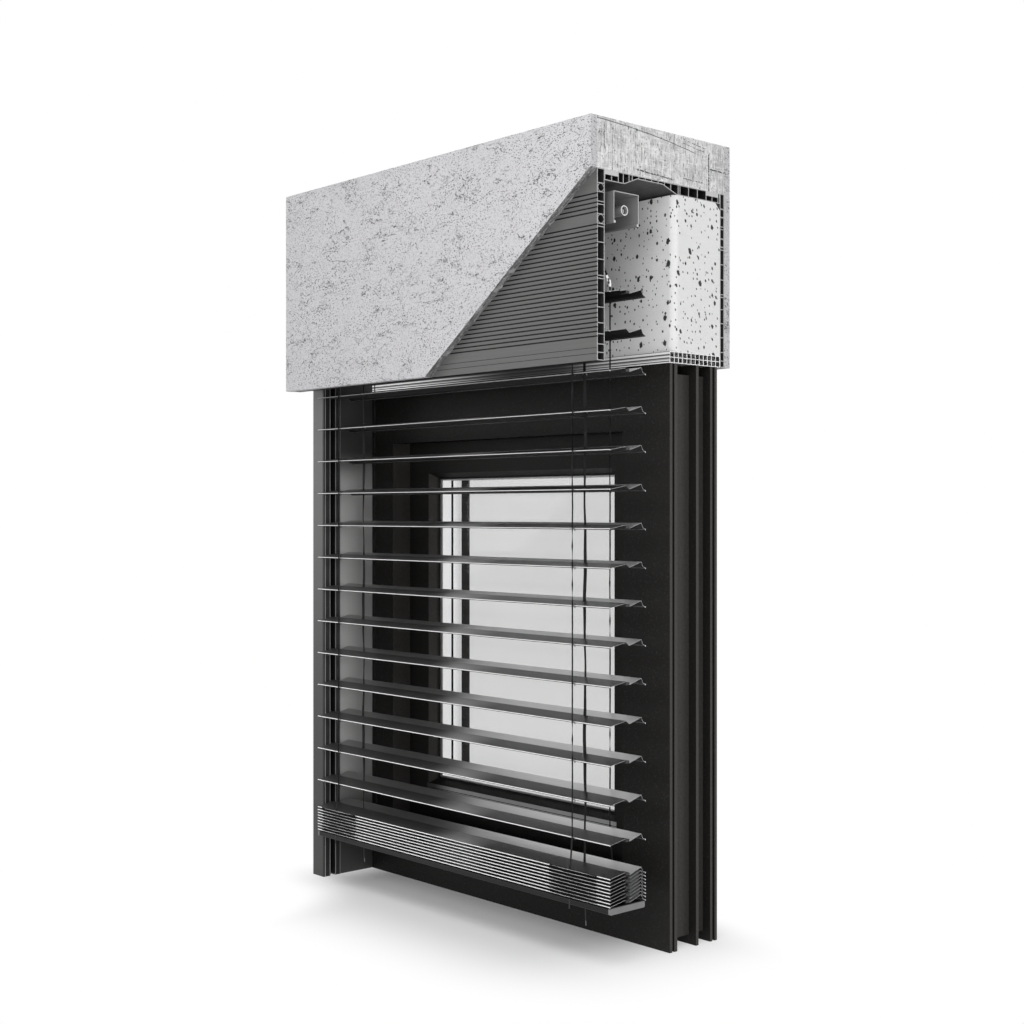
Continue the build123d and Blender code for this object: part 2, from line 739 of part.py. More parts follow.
def drive_shaft():
    """Hexagonal shaft each side of the motor, with a coupling sleeve at the open end."""
    half = MOTOR_LENGTH / 2 + SEAT_CLEARANCE
    right = bar(hexagon(), half, right_end - SHAFT_SETBACK)
    _, _, ladder_wall = station_walls(*STATIONS[1])
    left = bar(hexagon(), ladder_wall - 2 * HOUSING_WALL, -half)
    sleeve_end = right_end - SLEEVE_SETBACK
    sleeve = rod(SLEEVE_RADIUS, sleeve_end - SLEEVE_LENGTH, sleeve_end, shaft_y, shaft_z)
    sleeve -= bar(hexagon(), sleeve_end - SLEEVE_LENGTH, sleeve_end)
    return [right, left, sleeve]


def drive_motor():
    """Motor in the middle of the head rail, seated on its lips."""
    section = RectangleRounded(MOTOR_WIDTH, MOTOR_HEIGHT, MOTOR_ROUND)
    place = Pos(shaft_y, housing_foot + MOTOR_HEIGHT / 2)
    return bar(place * section, -MOTOR_LENGTH / 2, MOTOR_LENGTH / 2)


# Cords and tapes

def drum_reach():
    """How far from the shaft a ladder cord passes its drum."""
    return DRUM_RADIUS - CORD_RADIUS


cord_offsets = (
    SLAT_PIVOT[0] + HEM_RADIUS + CORD_GAP + CORD_RADIUS,
    SLAT_PROFILE[-1][0] - SLAT_PIVOT[0] + HEM_RADIUS + CORD_GAP + CORD_RADIUS,
)


def ladder_cord(x, low_y, high_y):
    """One upright of a ladder, from the bottom rail to its drum."""
    foot = bottom_rail_top
    bend = top_pivot + CORD_BEND_HEIGHT
    rise = sqrt(DRUM_RADIUS**2 - (drum_reach() - CORD_RADIUS) ** 2)
    top = shaft_z - rise - CORD_DRUM_GAP
    path = FilletPolyline(
        (x, low_y, foot),
        (x, low_y, bend),
        (x, high_y, housing_foot - CORD_HIGH_DROP),
        (x, high_y, top),
        radius=[CORD_LOW_BEND, CORD_HIGH_BEND],
    )
    start = Plane(origin=path @ 0, z_dir=path % 0)
    return sweep(start * RegularPolygon(CORD_RADIUS, CORD_SIDES), path=path)


def ladder_cords():
    """Front and rear upright at each station."""
    cords = []
    for ladder_x, _ in STATIONS:
        cords.append(ladder_cord(ladder_x, blind_y - cord_offsets[0], shaft_y - drum_reach()))
        cords.append(ladder_cord(ladder_x, blind_y + cord_offsets[1], shaft_y + drum_reach()))
    return cords


def lift_tapes():
    """Flat tape at each station, from the bottom rail up through every slat to its reel."""
    shift = blind_y - shaft_y + TAPE_THICKNESS / 2
    top = shaft_z - sqrt(REEL_RADIUS**2 - shift**2) - SEAT_CLEARANCE
    tapes = []
    for _, tape_x in STATIONS:
        tapes.append(
            block(
                tape_x - TAPE_WIDTH / 2,
                tape_x + TAPE_WIDTH / 2,
                blind_y - TAPE_THICKNESS / 2,
                blind_y + TAPE_THICKNESS / 2,
                bottom_rail_top,
                top,
            )
        )
    return tapes


NODES = {
    "front_render": front_render,
    "lintel_block": lintel_block,
    "rear_render": rear_render,
    "front_panel": front_panel,
    "top_panel": top_panel,
    "rear_panel": rear_panel,
    "closure_profile": closure_profile,
    "insulation_block": insulation_block,
    "end_plate": end_plate,
    "window_frame": window_frame,
    "sash_frame": sash_frame,
    "glazing_bead": glazing_bead,
    "glass_panes": glass_panes,
    "pane_spacer": pane_spacer,
    "guide_rail": guide_rail,
    "rail_lining": rail_lining,
    "rail_carrier": rail_carrier,
    "head_rail": head_rail,
    "head_rail_cap": head_rail_cap,
    "rail_hangers": rail_hangers,
    "bearing_housings": bearing_housings,
    "drive_motor": drive_motor,
    "drive_shaft": drive_shaft,
    "tape_reels": tape_reels,
    "tilt_drums": tilt_drums,
    "ladder_cords": ladder_cords,
    "lift_tapes": lift_tapes,
    "bottom_rail": bottom_rail,
    "bottom_rail_caps": bottom_rail_caps,
    "packed_slats": packed_slats,
}


def write(name, shape):
    """One STEP file for one node."""
    solids = shape if isinstance(shape, list) else [shape]
    solids = [solid for item in solids for solid in item.solids()]
    whole = solids[0] if len(solids) == 1 else Compound(children=solids)
    whole.label = name
    export_step(whole, f"parts/{name}.step")


os.makedirs("parts", exist_ok=True)
for name, make in NODES.items():
    write(name, make())
for number in range(1, HANGING_SLATS + 1):
    write(f"slat_{number:02d}", slat(number, hanging_pivot(number)))
    write(f"guide_shoe_{number:02d}", guide_shoe(hanging_pivot(number)))
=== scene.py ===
import math
import random

import bmesh
import bpy
from mathutils import Matrix, Vector


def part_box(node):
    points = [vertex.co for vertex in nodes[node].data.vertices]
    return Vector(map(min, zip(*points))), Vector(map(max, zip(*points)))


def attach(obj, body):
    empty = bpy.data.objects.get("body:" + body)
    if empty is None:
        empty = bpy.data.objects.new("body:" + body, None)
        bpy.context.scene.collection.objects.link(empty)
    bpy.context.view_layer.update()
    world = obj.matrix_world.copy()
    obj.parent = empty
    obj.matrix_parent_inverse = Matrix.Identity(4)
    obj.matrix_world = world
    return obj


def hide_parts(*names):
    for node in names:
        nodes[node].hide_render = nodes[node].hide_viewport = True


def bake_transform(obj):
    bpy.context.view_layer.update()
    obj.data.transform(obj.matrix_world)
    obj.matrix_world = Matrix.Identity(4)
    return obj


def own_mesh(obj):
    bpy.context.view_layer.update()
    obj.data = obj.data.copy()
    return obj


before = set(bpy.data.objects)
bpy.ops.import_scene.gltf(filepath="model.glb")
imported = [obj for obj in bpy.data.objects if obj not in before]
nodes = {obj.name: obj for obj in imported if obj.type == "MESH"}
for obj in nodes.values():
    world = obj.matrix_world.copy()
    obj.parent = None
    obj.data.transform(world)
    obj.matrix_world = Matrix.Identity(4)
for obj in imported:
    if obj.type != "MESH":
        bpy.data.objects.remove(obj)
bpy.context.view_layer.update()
scene = bpy.context.scene
scene.view_settings.view_transform = "Standard"


# Studio
# The unit stands on a white sweep, seen from the street side at the height of its middle.
# Five large soft lamps stand round it, and a grey sky fills in.

EYE = (2.1049, -1.8440, 0.724)
SIGHT_LINE = (-0.7433, 0.6690, 0.0)
SENSOR = 36.0
LENS = 53.42
FAR_CLIP = 60

camera = bpy.data.objects.new("camera", bpy.data.cameras.new("camera"))
camera.data.sensor_width = SENSOR
camera.data.lens = LENS
camera.data.clip_end = FAR_CLIP
camera.location = EYE
camera.rotation_euler = Vector(SIGHT_LINE).to_track_quat("-Z", "Y").to_euler()
scene.collection.objects.link(camera)
scene.camera = camera

# Each lamp's place, its width and its watts. All look at the middle of the unit.
LAMPS = {
    "lamp_overhead": ((0.2, -0.8, 3.3), 2.8, 46),
    "lamp_camera": ((1.9, -2.7, 1.9), 1.8, 33),
    "lamp_end": ((2.6, -2.0, 0.45), 1.8, 29),
    "lamp_rear": ((2.6, 2.4, 0.8), 1.8, 18),
    "lamp_left": ((-2.9, -1.9, 1.2), 1.6, 13),
}
UNIT_MIDDLE = Vector((0, 0, 0.7))
for name, (place, width, power) in LAMPS.items():
    lamp = bpy.data.lights.new(name, "AREA")
    lamp.shape = "DISK"
    lamp.size = width
    lamp.energy = power
    holder = bpy.data.objects.new(name, lamp)
    holder.location = place
    sight = UNIT_MIDDLE - Vector(place)
    holder.rotation_euler = sight.to_track_quat("-Z", "Y").to_euler()
    scene.collection.objects.link(holder)


class Signal:
    """A shader socket that takes part in sums, so that a finish reads as a formula."""

    def __init__(self, tree, socket=None):
        self.tree = tree
        self.socket = socket

    def node(self, kind, settings=None, sockets=None, out=0):
        """A node from its type, its settings and its sockets' values or links."""
        made = self.tree.nodes.new(kind)
        for key, value in (settings or {}).items():
            if key == "stops":
                self._set_stops(made.color_ramp, value)
            else:
                setattr(made, key, value)
        for key, value in (sockets or {}).items():
            if isinstance(value, Signal):
                self.tree.links.new(value.socket, made.inputs[key])
            else:
                made.inputs[key].default_value = value
        return Signal(self.tree, made.outputs[out])

    @staticmethod
    def _set_stops(ramp, stops):
        while len(ramp.elements) < len(stops):
            ramp.elements.new(1)
        for element, (place, shade) in zip(ramp.elements, stops):
            element.position = place
            element.color = (shade, shade, shade, 1)

    def _maths(self, operation, *values):
        return self.node("ShaderNodeMath", {"operation": operation}, dict(enumerate(values)))

    def __add__(self, other):
        return self._maths("ADD", self, other)

    def __radd__(self, other):
        return self._maths("ADD", other, self)

    def __sub__(self, other):
        return self._maths("SUBTRACT", self, other)

    def __rsub__(self, other):
        return self._maths("SUBTRACT", other, self)

    def __mul__(self, other):
        return self._maths("MULTIPLY", self, other)

    def __rmul__(self, other):
        return self._maths("MULTIPLY", other, self)

    def wave(self):
        return self._maths("SINE", self)

    def size(self):
        """The number without its sign."""
        return self._maths("ABSOLUTE", self)

    def over(self, limit):
        """How far this signal is over a limit, and 0 below it."""
        return self._maths("MAXIMUM", self - limit, 0.0)

    def step(self, low, high):
        """0 below low and 1 above high, with a smooth rise between them."""
        sockets = {0: self, 1: low, 2: high, 3: 0.0, 4: 1.0}
        return self.node("ShaderNodeMapRange", {"interpolation_type": "SMOOTHSTEP"}, sockets)

    def mix(self, first, second):
        """This signal's share of the second colour in the first."""
        sockets = {0: self, 6: first, 7: second}
        return self.node("ShaderNodeMix", {"data_type": "RGBA"}, sockets, out=2)

    def axes(self):
        """The X, Y and Z of a vector."""
        parts = self.node("ShaderNodeSeparateXYZ", None, {0: self}).socket.node.outputs
        return [Signal(self.tree, part) for part in parts]

    def length(self):
        """The length of a vector."""
        settings = {"operation": "LENGTH"}
        return self.node("ShaderNodeVectorMath", settings, {0: self}, out="Value")


def grey(shade, warm=0.0):
    return (shade * (1 + warm), shade, shade * (1 - warm), 1)


def background_seen(start):
    """1 for rays that show the background: direct, off gloss or through glass."""
    kinds = ("Is Camera Ray", "Is Glossy Ray", "Is Transmission Ray")
    straight, mirrored, passed = [start.node("ShaderNodeLightPath", out=k) for k in kinds]
    return (straight + mirrored + passed).step(0.0, 1.0)


# How far from the middle the floor keeps its shade, and over what length that fades out.
# On the street side it fades sooner and faster by the guide rail.
FADE_LEFT = (0.30, 0.22)
FADE_RIGHT = (0.24, 0.36)
FADE_STREET = (0.13, 0.27)
FADE_ROOM = (0.10, 0.16)
BY_GUIDE = (0.15, 0.34)
FADE_SOONER = 0.045
FADE_FASTER = 4.5
FLOOR_WHITE = 0.90
PAPER_SHARE = 0.10


def white_sweep(name):
    """White floor that keeps the shadow at the unit's foot and is paper white beyond."""
    material = bpy.data.materials.new(name)
    material.use_nodes = True
    tree = material.node_tree
    tree.nodes.clear()
    start = Signal(tree)
    x, y, z = start.node("ShaderNodeTexCoord", out="Object").axes()
    past_left = (0 - x).over(FADE_LEFT[0]) * (1 / FADE_LEFT[1])
    past_end = x.over(FADE_RIGHT[0]) * (1 / FADE_RIGHT[1]) + past_left
    guide = (0 - x).step(*BY_GUIDE)
    past_street = (0 - y + guide * FADE_SOONER).over(FADE_STREET[0])
    past_street = past_street * (1 / FADE_STREET[1] + guide * FADE_FASTER)
    past_room = y.over(FADE_ROOM[0]) * (1 / FADE_ROOM[1])
    sockets = {"X": past_end, "Y": past_street + past_room}
    far = start.node("ShaderNodeCombineXYZ", None, sockets).length().step(0.0, 1.0)
    share = background_seen(start) * (PAPER_SHARE + far * (1 - PAPER_SHARE))
    matte = start.node("ShaderNodeBsdfDiffuse", None, {"Color": grey(FLOOR_WHITE)})
    paper = start.node("ShaderNodeEmission", None, {"Color": grey(1.0), "Strength": 1.0})
    surface = start.node("ShaderNodeMixShader", None, {0: share, 1: matte, 2: paper})
    output = tree.nodes.new("ShaderNodeOutputMaterial")
    tree.links.new(surface.socket, output.inputs["Surface"])
    return material


FLOOR_SPAN = 24.0
FLOOR_DROP = 0.0005
sweep = bmesh.new()
bmesh.ops.create_grid(sweep, x_segments=2, y_segments=2, size=FLOOR_SPAN)
floor = bpy.data.objects.new("floor", bpy.data.meshes.new("floor"))
sweep.to_mesh(floor.data)
sweep.free()
floor.location = (0, 0, -FLOOR_DROP)
floor.data.materials.append(white_sweep("white sweep"))
scene.collection.objects.link(floor)

SKY_FILL = 0.30
world = bpy.data.worlds.new("sky")
world.use_nodes = True
scene.world = world
world.node_tree.nodes.clear()
sky = Signal(world.node_tree)
strength = SKY_FILL + background_seen(sky) * (1 - SKY_FILL)
backdrop = sky.node("ShaderNodeBackground", None, {"Color": grey(1.0), "Strength": strength})
sky_out = world.node_tree.nodes.new("ShaderNodeOutputWorld")
world.node_tree.links.new(backdrop.socket, sky_out.inputs["Surface"])


# Window frame, sash and glazing bead
# Hollow plastic profiles mitred and welded at the corners, foiled on both faces.
# The foil is an almost black anthracite with a fine, faintly glittering grain.

FOIL = 0.0088
FACED = (0.5, 0.9)


def noise(spot, scale, detail=2.0, rough=0.5, distortion=0.0):
    """Cloudy noise between 0 and 1."""
    sockets = {"Vector": spot, "Scale": scale, "Detail": detail}
    sockets |= {"Roughness": rough, "Distortion": distortion}
    return spot.node("ShaderNodeTexNoise", None, sockets)


def bumps(height, depth):
    """A surface normal from a height pattern whose relief is depth metres."""
    return height.node("ShaderNodeBump", None, {"Height": height, "Distance": depth})


def facing(start, axis):
    """How far the surface faces along an axis, from -1 to 1."""
    normal = start.node("ShaderNodeTexCoord", out="Normal")
    return normal.axes()["XYZ".index(axis)]


def inner_side(start):
    """1 on faces that look along the blind or upwards."""
    return (facing(start, "X").step(*FACED) + facing(start, "Z").step(*FACED)).step(0.0, 1.0)


def finish_of(name, recipe, **fixed):
    """A material from its even numbers and a recipe that works on Object coordinates."""
    material = bpy.data.materials.new(name)
    material.use_nodes = True
    tree = material.node_tree
    shader = tree.nodes["Principled BSDF"]
    for socket, value in fixed.items():
        shader.inputs[socket.replace("_", " ")].default_value = value
    spot = Signal(tree).node("ShaderNodeTexCoord", out="Object")
    for socket, value in recipe(spot).items():
        tree.links.new(value.socket, shader.inputs[socket])
    return material


def dress(material, *names):
    """Gives CAD nodes their finish."""
    for name in names:
        mesh = nodes[name].data
        mesh.materials.clear()
        mesh.materials.append(material)


def foil_skin(spot):
    """Dark foil: its tone, roughness and relief."""
    grain = noise(spot, 620, 2, 0.6)
    flecks = noise(spot, 410, 1, 0.5).step(0.62, 0.72)
    drift = noise(spot, 5, 2)
    tone = drift.mix(grey(FOIL * 0.86, 0.08), grey(FOIL * 1.16, 0.08))
    tone = (flecks * 0.6).mix(tone, grey(FOIL * 3.0, 0.03))
    relief = bumps(grain * 0.6 + flecks * 0.6, 0.0004)
    return tone, 0.46 + grain * 0.2 - flecks * 0.10, relief


def foil(spot):
    """The frame's foil. Faces looking along +X are paler: plain plastic, with painted light
    from that side.
    """
    tone, rough, relief = foil_skin(spot)
    # Faces looking along +X get a paler tone: partly the plain plastic, partly painted
    # light.
    edge = facing(spot, "X").step(*FACED)
    plastic = noise(spot, 240, 2).mix(grey(FOIL * 3.2, 0.06), grey(FOIL * 6.0, 0.06))
    return {"Base Color": edge.mix(tone, plastic), "Roughness": rough, "Normal": relief}


window_foil = finish_of("anthracite foil", foil, Specular_IOR_Level=0.20)
dress(window_foil, "window_frame", "glazing_bead")

# The sash shows a pale core behind the glass, with a painted glow that stands for daylight
# from the room.
# A grey weather strip runs along its foot, with painted shade darkening its left end and
# dark lines painted as the shade of its two grooves.
CORE = (0.1107, 0.1342)
LIP_HALF = 0.2455
LIP_FOOT, LIP_HEAD = 0.1965, 0.7890
LIP_SPARE = 0.001
STRIP_HALF = 0.262
STRIP_FOOT, STRIP_HEAD = 0.150, 0.1845
STRIP_FACE = (0.0589, 0.0590)
STRIP_SHADE = (-0.245, -0.165)
STRIP_LINES = (0.1766, 0.1738)
LINE_HALF = 0.0005


def within(value, low, high, blur=0.0003):
    """1 between two limits and 0 outside them."""
    return value.step(low - blur, low) * (1 - value.step(high, high + blur))


def sash_skin(spot):
    x, y, z = spot.axes()
    tone, rough, relief = foil_skin(spot)
    reveal = within(x, -LIP_HALF - LIP_SPARE, LIP_HALF + LIP_SPARE)
    reveal = reveal * within(z, LIP_FOOT - LIP_SPARE, LIP_HEAD + LIP_SPARE)
    core = within(y, *CORE) * reveal
    tone = core.mix(tone, grey(0.88))
    strip = within(z, STRIP_FOOT, STRIP_HEAD) * within(x, -STRIP_HALF, STRIP_HALF)
    # The strip's two grooves are painted as dark lines, their shade.
    for line in STRIP_LINES:
        strip = strip * (1 - within(z, line - LINE_HALF, line + LINE_HALF))
    # Painted shade darkens the strip towards its left end.
    left_end_shade = x.step(*STRIP_SHADE).mix(grey(0.06), grey(0.55))
    tone = (strip * (1 - y.step(*STRIP_FACE))).mix(tone, left_end_shade)
    # A painted glow on the core's faces that look along +X or up, stronger towards the
    # street side.
    painted_daylight = y.step(*CORE).mix(grey(0.85), grey(0.45))
    painted_glow = (core * inner_side(spot)).mix(grey(0.0), painted_daylight)
    return {"Base Color": tone, "Roughness": rough, "Normal": relief, "Emission Color": painted_glow}


sash_looks = {"Specular_IOR_Level": 0.20, "Emission_Strength": 1.0}
dress(finish_of("sash foil and core", sash_skin, **sash_looks), "sash_frame")


# Glass unit
# Two sheets of clear float glass sealed round a hollow metal spacer.
# The sheets darken the light a little, and the spacer shows as a bright band, lifted by a
# painted glow.

def stretch(spot, factors, shift=(0, 0, 0)):
    """Coordinates with each axis scaled, which draws a pattern out or packs it."""
    sockets = {"Vector": spot, "Scale": factors, "Location": shift}
    return spot.node("ShaderNodeMapping", None, sockets)


def clear_sheet(spot):
    veil = noise(stretch(spot, (1.2, 1, 3.0)), 1.6, 2)
    return {"Base Color": veil.mix(grey(0.02), grey(0.05)), "Alpha": 0.09 + veil * 0.06}


glass_looks = {"Roughness": 0.02, "IOR": 1.5, "Specular_IOR_Level": 0.6}
dress(finish_of("clear glass", clear_sheet, **glass_looks), "glass_panes")

SPACER_BEADS = 1900


def spacer_strip(spot):
    x, y, z = spot.axes()
    beads = (y * SPACER_BEADS).wave() * 0.5 + 0.5
    smear = noise(stretch(spot, (30, 200, 30)), 3, 2)
    return {
        "Base Color": smear.mix(grey(0.84), grey(0.95)),
        "Roughness": 0.34 + smear * 0.18,
        "Normal": bumps(beads, 0.0002),
        # A painted glow on the spacer's faces that look along +X or up.
        "Emission Color": inner_side(spot).mix(grey(0.0), grey(0.42)),
    }


spacer_looks = {"Metallic": 0.2, "Emission_Strength": 1.0}
dress(finish_of("spacer strip", spacer_strip, **spacer_looks), "pane_spacer")


# Gaskets
# Extruded black rubber lips between the bead or the sash and the glass, one each side.
# They are pushed into the bead's groove and meet in the corners.

GASKET_WALL = 0.0022
GASKET_ROUND = 0.0005
# Half its width, its foot and its head, then its front and its rear.
GASKETS = {
    "gasket_street": ((0.2480, 0.1940, 0.7915), 0.0766, 0.0798),
    "gasket_room": ((LIP_HALF, LIP_FOOT, LIP_HEAD), 0.1098, 0.1114),
}


def keep_piece(name, shape, material, body, smooth=True):
    """Turns a finished bmesh into a piece that rides on a body."""
    mesh = bpy.data.meshes.new(name)
    bmesh.ops.recalc_face_normals(shape, faces=shape.faces)
    shape.to_mesh(mesh)
    shape.free()
    for polygon in mesh.polygons:
        polygon.use_smooth = smooth
    mesh.materials.append(material)
    piece = bpy.data.objects.new(name, mesh)
    scene.collection.objects.link(piece)
    if body:
        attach(piece, body)
    return piece


def pushed_points(grown):
    """The points that an extrusion has made."""
    return [point for point in grown["geom"] if isinstance(point, bmesh.types.BMVert)]


def rubber(spot):
    skin = noise(spot, 900, 2)
    return {
        "Base Color": skin.mix(grey(0.006), grey(0.014)),
        "Roughness": 0.55 + skin * 0.25,
        "Normal": bumps(skin, 0.0002),
    }


black_rubber = finish_of("black rubber", rubber, Specular_IOR_Level=0.15)
for name, ((half_x, foot, head), front, rear) in GASKETS.items():
    ring = bmesh.new()
    upright = Matrix.Rotation(math.radians(90), 3, "X")
    bmesh.ops.create_grid(ring, x_segments=1, y_segments=1, size=1)
    bmesh.ops.scale(ring, vec=(half_x, (head - foot) / 2, 1), verts=ring.verts)
    bmesh.ops.rotate(ring, matrix=upright, verts=ring.verts)
    bmesh.ops.translate(ring, vec=(0, front, (head + foot) / 2), verts=ring.verts)
    rim = bmesh.ops.inset_region(
        ring, faces=ring.faces, thickness=GASKET_WALL, use_even_offset=True,
        use_boundary=True,
    )
    opening = [face for face in ring.faces if face not in rim["faces"]]
    bmesh.ops.delete(ring, geom=opening, context="FACES")
    grown = bmesh.ops.extrude_face_region(ring, geom=list(ring.faces))
    bmesh.ops.translate(ring, vec=(0, rear - front, 0), verts=pushed_points(grown))
    edges = [edge for edge in ring.edges if edge.is_manifold and edge.calc_face_angle(0) > 1]
    bmesh.ops.bevel(
        ring, geom=edges, offset=GASKET_ROUND, segments=2, profile=0.5, affect="EDGES",
        material=-1,
    )
    keep_piece(name, ring, black_rubber, "box_and_window", smooth=False)


# Hollow panels of the lintel box
# Extruded hard plastic with rows of chambers, grooved to the street to key the plaster.
# The cut end shows pale walls, a saw burr with a painted highlight, and the chambers behind
# it have painted shade that deepens away from the cut.

PANEL = 0.128
# The tone of the painted shade in the grooves, then the grooves' depth.
GROOVE = 0.006
GROOVE_DEEP = 0.0010
FRONT_PANEL = (-0.1530, -0.1364)
REAR_PANEL = (0.1420, 0.1530)
BOX_DEPTH = (-0.1530, 0.1530)
CUT_END = 0.4255
RIM = 0.0007
# How far in from the cut end the painted shade in the chambers deepens.
DARK_FROM = 0.03
DULL = 0.18


def drawn_lines(spot, across=160):
    """The long lines that a die leaves along the blind."""
    return noise(stretch(spot, (1.5, 160, across)), 4, 3)


def sawn_rim(x):
    """1 on the thin rim at the cut end."""
    return x.step(CUT_END - RIM, CUT_END - RIM * 0.5)


# The cut rim's tone: a pale saw burr with a painted highlight.
def burr_and_highlight(spot):
    return noise(spot, 700, 2).mix(grey(0.26), grey(0.56))


def panel_skin(front, rear, wall, tone, groove=0.0):
    """A panel's finish, from the depths of its two faces and the wall over its chambers."""
    def recipe(spot):
        x, y, z = spot.axes()
        drawn = drawn_lines(spot)
        speck = noise(spot, 900, 2)
        # Inside the chambers the wall is painted dark as their shade, darkest away from the
        # cut end.
        inside = within(y, front + wall, rear - wall, 0.0001)
        depth = 1 - x.step(CUT_END - DARK_FROM, CUT_END)
        skin = drawn.mix(grey(tone * 0.85, 0.01), grey(tone * 1.15, 0.01))
        if groove:
            # The floors of the grooves are painted dark as their shade.
            deep_in_groove = y.step(front + groove * 0.05, front + groove * 0.6)
            skin = deep_in_groove.mix(skin, grey(GROOVE))
        skin = inside.mix(skin, depth.mix(grey(0.03), grey(0.008)))
        return {
            "Base Color": sawn_rim(x).mix(skin, burr_and_highlight(spot)),
            "Roughness": 0.42 + drawn * 0.2,
            "Normal": bumps(drawn * 0.6 + speck * 0.4, 0.0002),
        }
    return recipe


front_skin = panel_skin(*FRONT_PANEL, 0.0014, PANEL, GROOVE_DEEP)
rear_skin = panel_skin(*REAR_PANEL, 0.0004, PANEL * 0.6)
end_skin = panel_skin(*BOX_DEPTH, 0.0001, PANEL)
dress(finish_of("front panel", front_skin, Specular_IOR_Level=DULL), "front_panel")
dress(finish_of("rear panel", rear_skin, Specular_IOR_Level=DULL), "rear_panel")
dress(finish_of("end plate", end_skin), "end_plate")


# Closure profile
# An extruded plastic profile with two rows of small chambers closes the box from below.
# Its ribbed face to the street is pale, with a painted highlight and a painted glow towards
# both ends of the box, and painted shade between the ribs.

CLOSURE_FACE = (0.0162, 0.0166)
CLOSURE_CHAMBERS = (0.0171, 0.1407)
RIB_FOOT = 0.9785
RIB_RATE = 1150
# Where the painted highlight fades out in the middle and comes back at the right end.
DIM_MIDDLE = (-0.34, 0.05)
LIT_END = (0.16, 0.32)


def closure_skin(spot):
    x, y, z = spot.axes()
    drawn = drawn_lines(spot, 420)
    front = 1 - y.step(*CLOSURE_FACE)
    ribs = (((z - RIB_FOOT) * RIB_RATE).wave() * 0.5 + 0.5).step(0.0, 0.5)
    # The painted highlight on the face: full at the left end, less at the right, none in the
    # middle.
    ends = (1 - x.step(*DIM_MIDDLE)) + x.step(*LIT_END) * 0.45
    shine = ends.mix(grey(0.16), drawn.mix(grey(0.78), grey(0.95)))
    # Between the ribs the face is painted dark as their shade.
    shine = ribs.mix(grey(0.04), shine)
    # A painted glow on the ribs, as a painted reflection of the lamps.
    painted_reflection = (front * ribs * ends * (0.5 + drawn * 0.5)).mix(grey(0.01), grey(0.90))
    inside = within(y, *CLOSURE_CHAMBERS, 0.0001)
    rim = sawn_rim(x)
    # The cut rim: a saw burr with a painted highlight.
    rim_burr_and_highlight = noise(stretch(spot, (1, 1, 1.6)), 330, 3, 0.7).step(0.26, 0.50)
    # The chambers' inside is painted dark with pale patches.
    chamber_patches = noise(spot, 260, 2).step(0.45, 0.62).mix(grey(0.02), grey(0.34))
    tone = front.mix(inside.mix(grey(PANEL * 0.6), chamber_patches), shine)
    return {
        "Base Color": rim.mix(tone, rim_burr_and_highlight.mix(grey(0.34), grey(0.92))),
        "Roughness": 0.40 + drawn * 0.12,
        "Normal": bumps(drawn, 0.0002),
        "Emission Color": (front * (1 - rim)).mix(grey(0.0), painted_reflection),
    }


dress(finish_of("closure profile", closure_skin, Emission_Strength=1.0), "closure_profile")


# Ceiling panel
# An extruded hollow panel that rises in a shallow arch over the head rail.
# The cells at both ends of its section are filled, so they stay pale where it is cut.

CEILING_SKIN = (1.2478, 1.2482)
CEILING_ARCH = (-0.0912, -0.0612, -0.0012, 0.0328)
ARCH_SKIN = (1.2598, 1.2602)
FILLED_ABOVE = (1.2560, 1.2562)
OPEN_CELLS = (-0.1052, 0.1045)


def ceiling_skin(spot):
    x, y, z = spot.axes()
    drawn = drawn_lines(spot)
    # Inside the hollow cells the wall is painted dark as their shade.
    inside = z.step(*CEILING_SKIN)
    arch = y.step(*CEILING_ARCH[:2]) * (1 - y.step(*CEILING_ARCH[2:]))
    inside = inside * (1 - arch * (1 - z.step(*ARCH_SKIN)))
    skin = drawn.mix(grey(PANEL * 0.5), grey(PANEL * 0.7))
    filled = z.step(*FILLED_ABOVE) * (1 - within(y, *OPEN_CELLS))
    filling = noise(spot, 260, 3).mix(grey(0.48), grey(0.66))
    # On the cut rim the filled cells show their filling, the others a saw burr with a
    # painted highlight.
    rim_burr_and_highlight = filled.mix(burr_and_highlight(spot), filling)
    return {
        "Base Color": sawn_rim(x).mix(inside.mix(skin, grey(0.008)), rim_burr_and_highlight),
        "Roughness": 0.45 + drawn * 0.2,
        "Normal": bumps(drawn, 0.00015),
    }


dress(finish_of("ceiling panel", ceiling_skin), "top_panel")


# Insulation block
# White foam moulded from pre-expanded beads, with darker beads scattered through it.
# It is cut to length with a hot wire, so the skin is smooth and shows the bead outlines.

FOAM = 0.81
FOAM_SPOTS = ((34, 0.48, 0.06, 0.14), (60, 0.62, 0.06, 0.13), (96, 0.60, 0.07, 0.14))
SPOT_RAGGED = 0.16
# Where the painted glow on the street face fades: towards the cut end, and from foot to top.
FOAM_END = (0.27, 0.45)
FOAM_HEIGHT = (0.95, 1.17)


def cells(spot, scale, out="Distance", **settings):
    """Cells: the distance to the nearest point or edge, or a random colour for each."""
    sockets = {"Vector": spot, "Scale": scale}
    return spot.node("ShaderNodeTexVoronoi", settings, sockets, out=out)


def wall_plane(x, y, z, across=1.0, up=1.0):
    """Flat coordinates that run round an upright corner, for patterns on the walls."""
    sockets = {"X": (x + y) * across, "Y": (z + y * 0.35) * up}
    return x.node("ShaderNodeCombineXYZ", None, sockets)


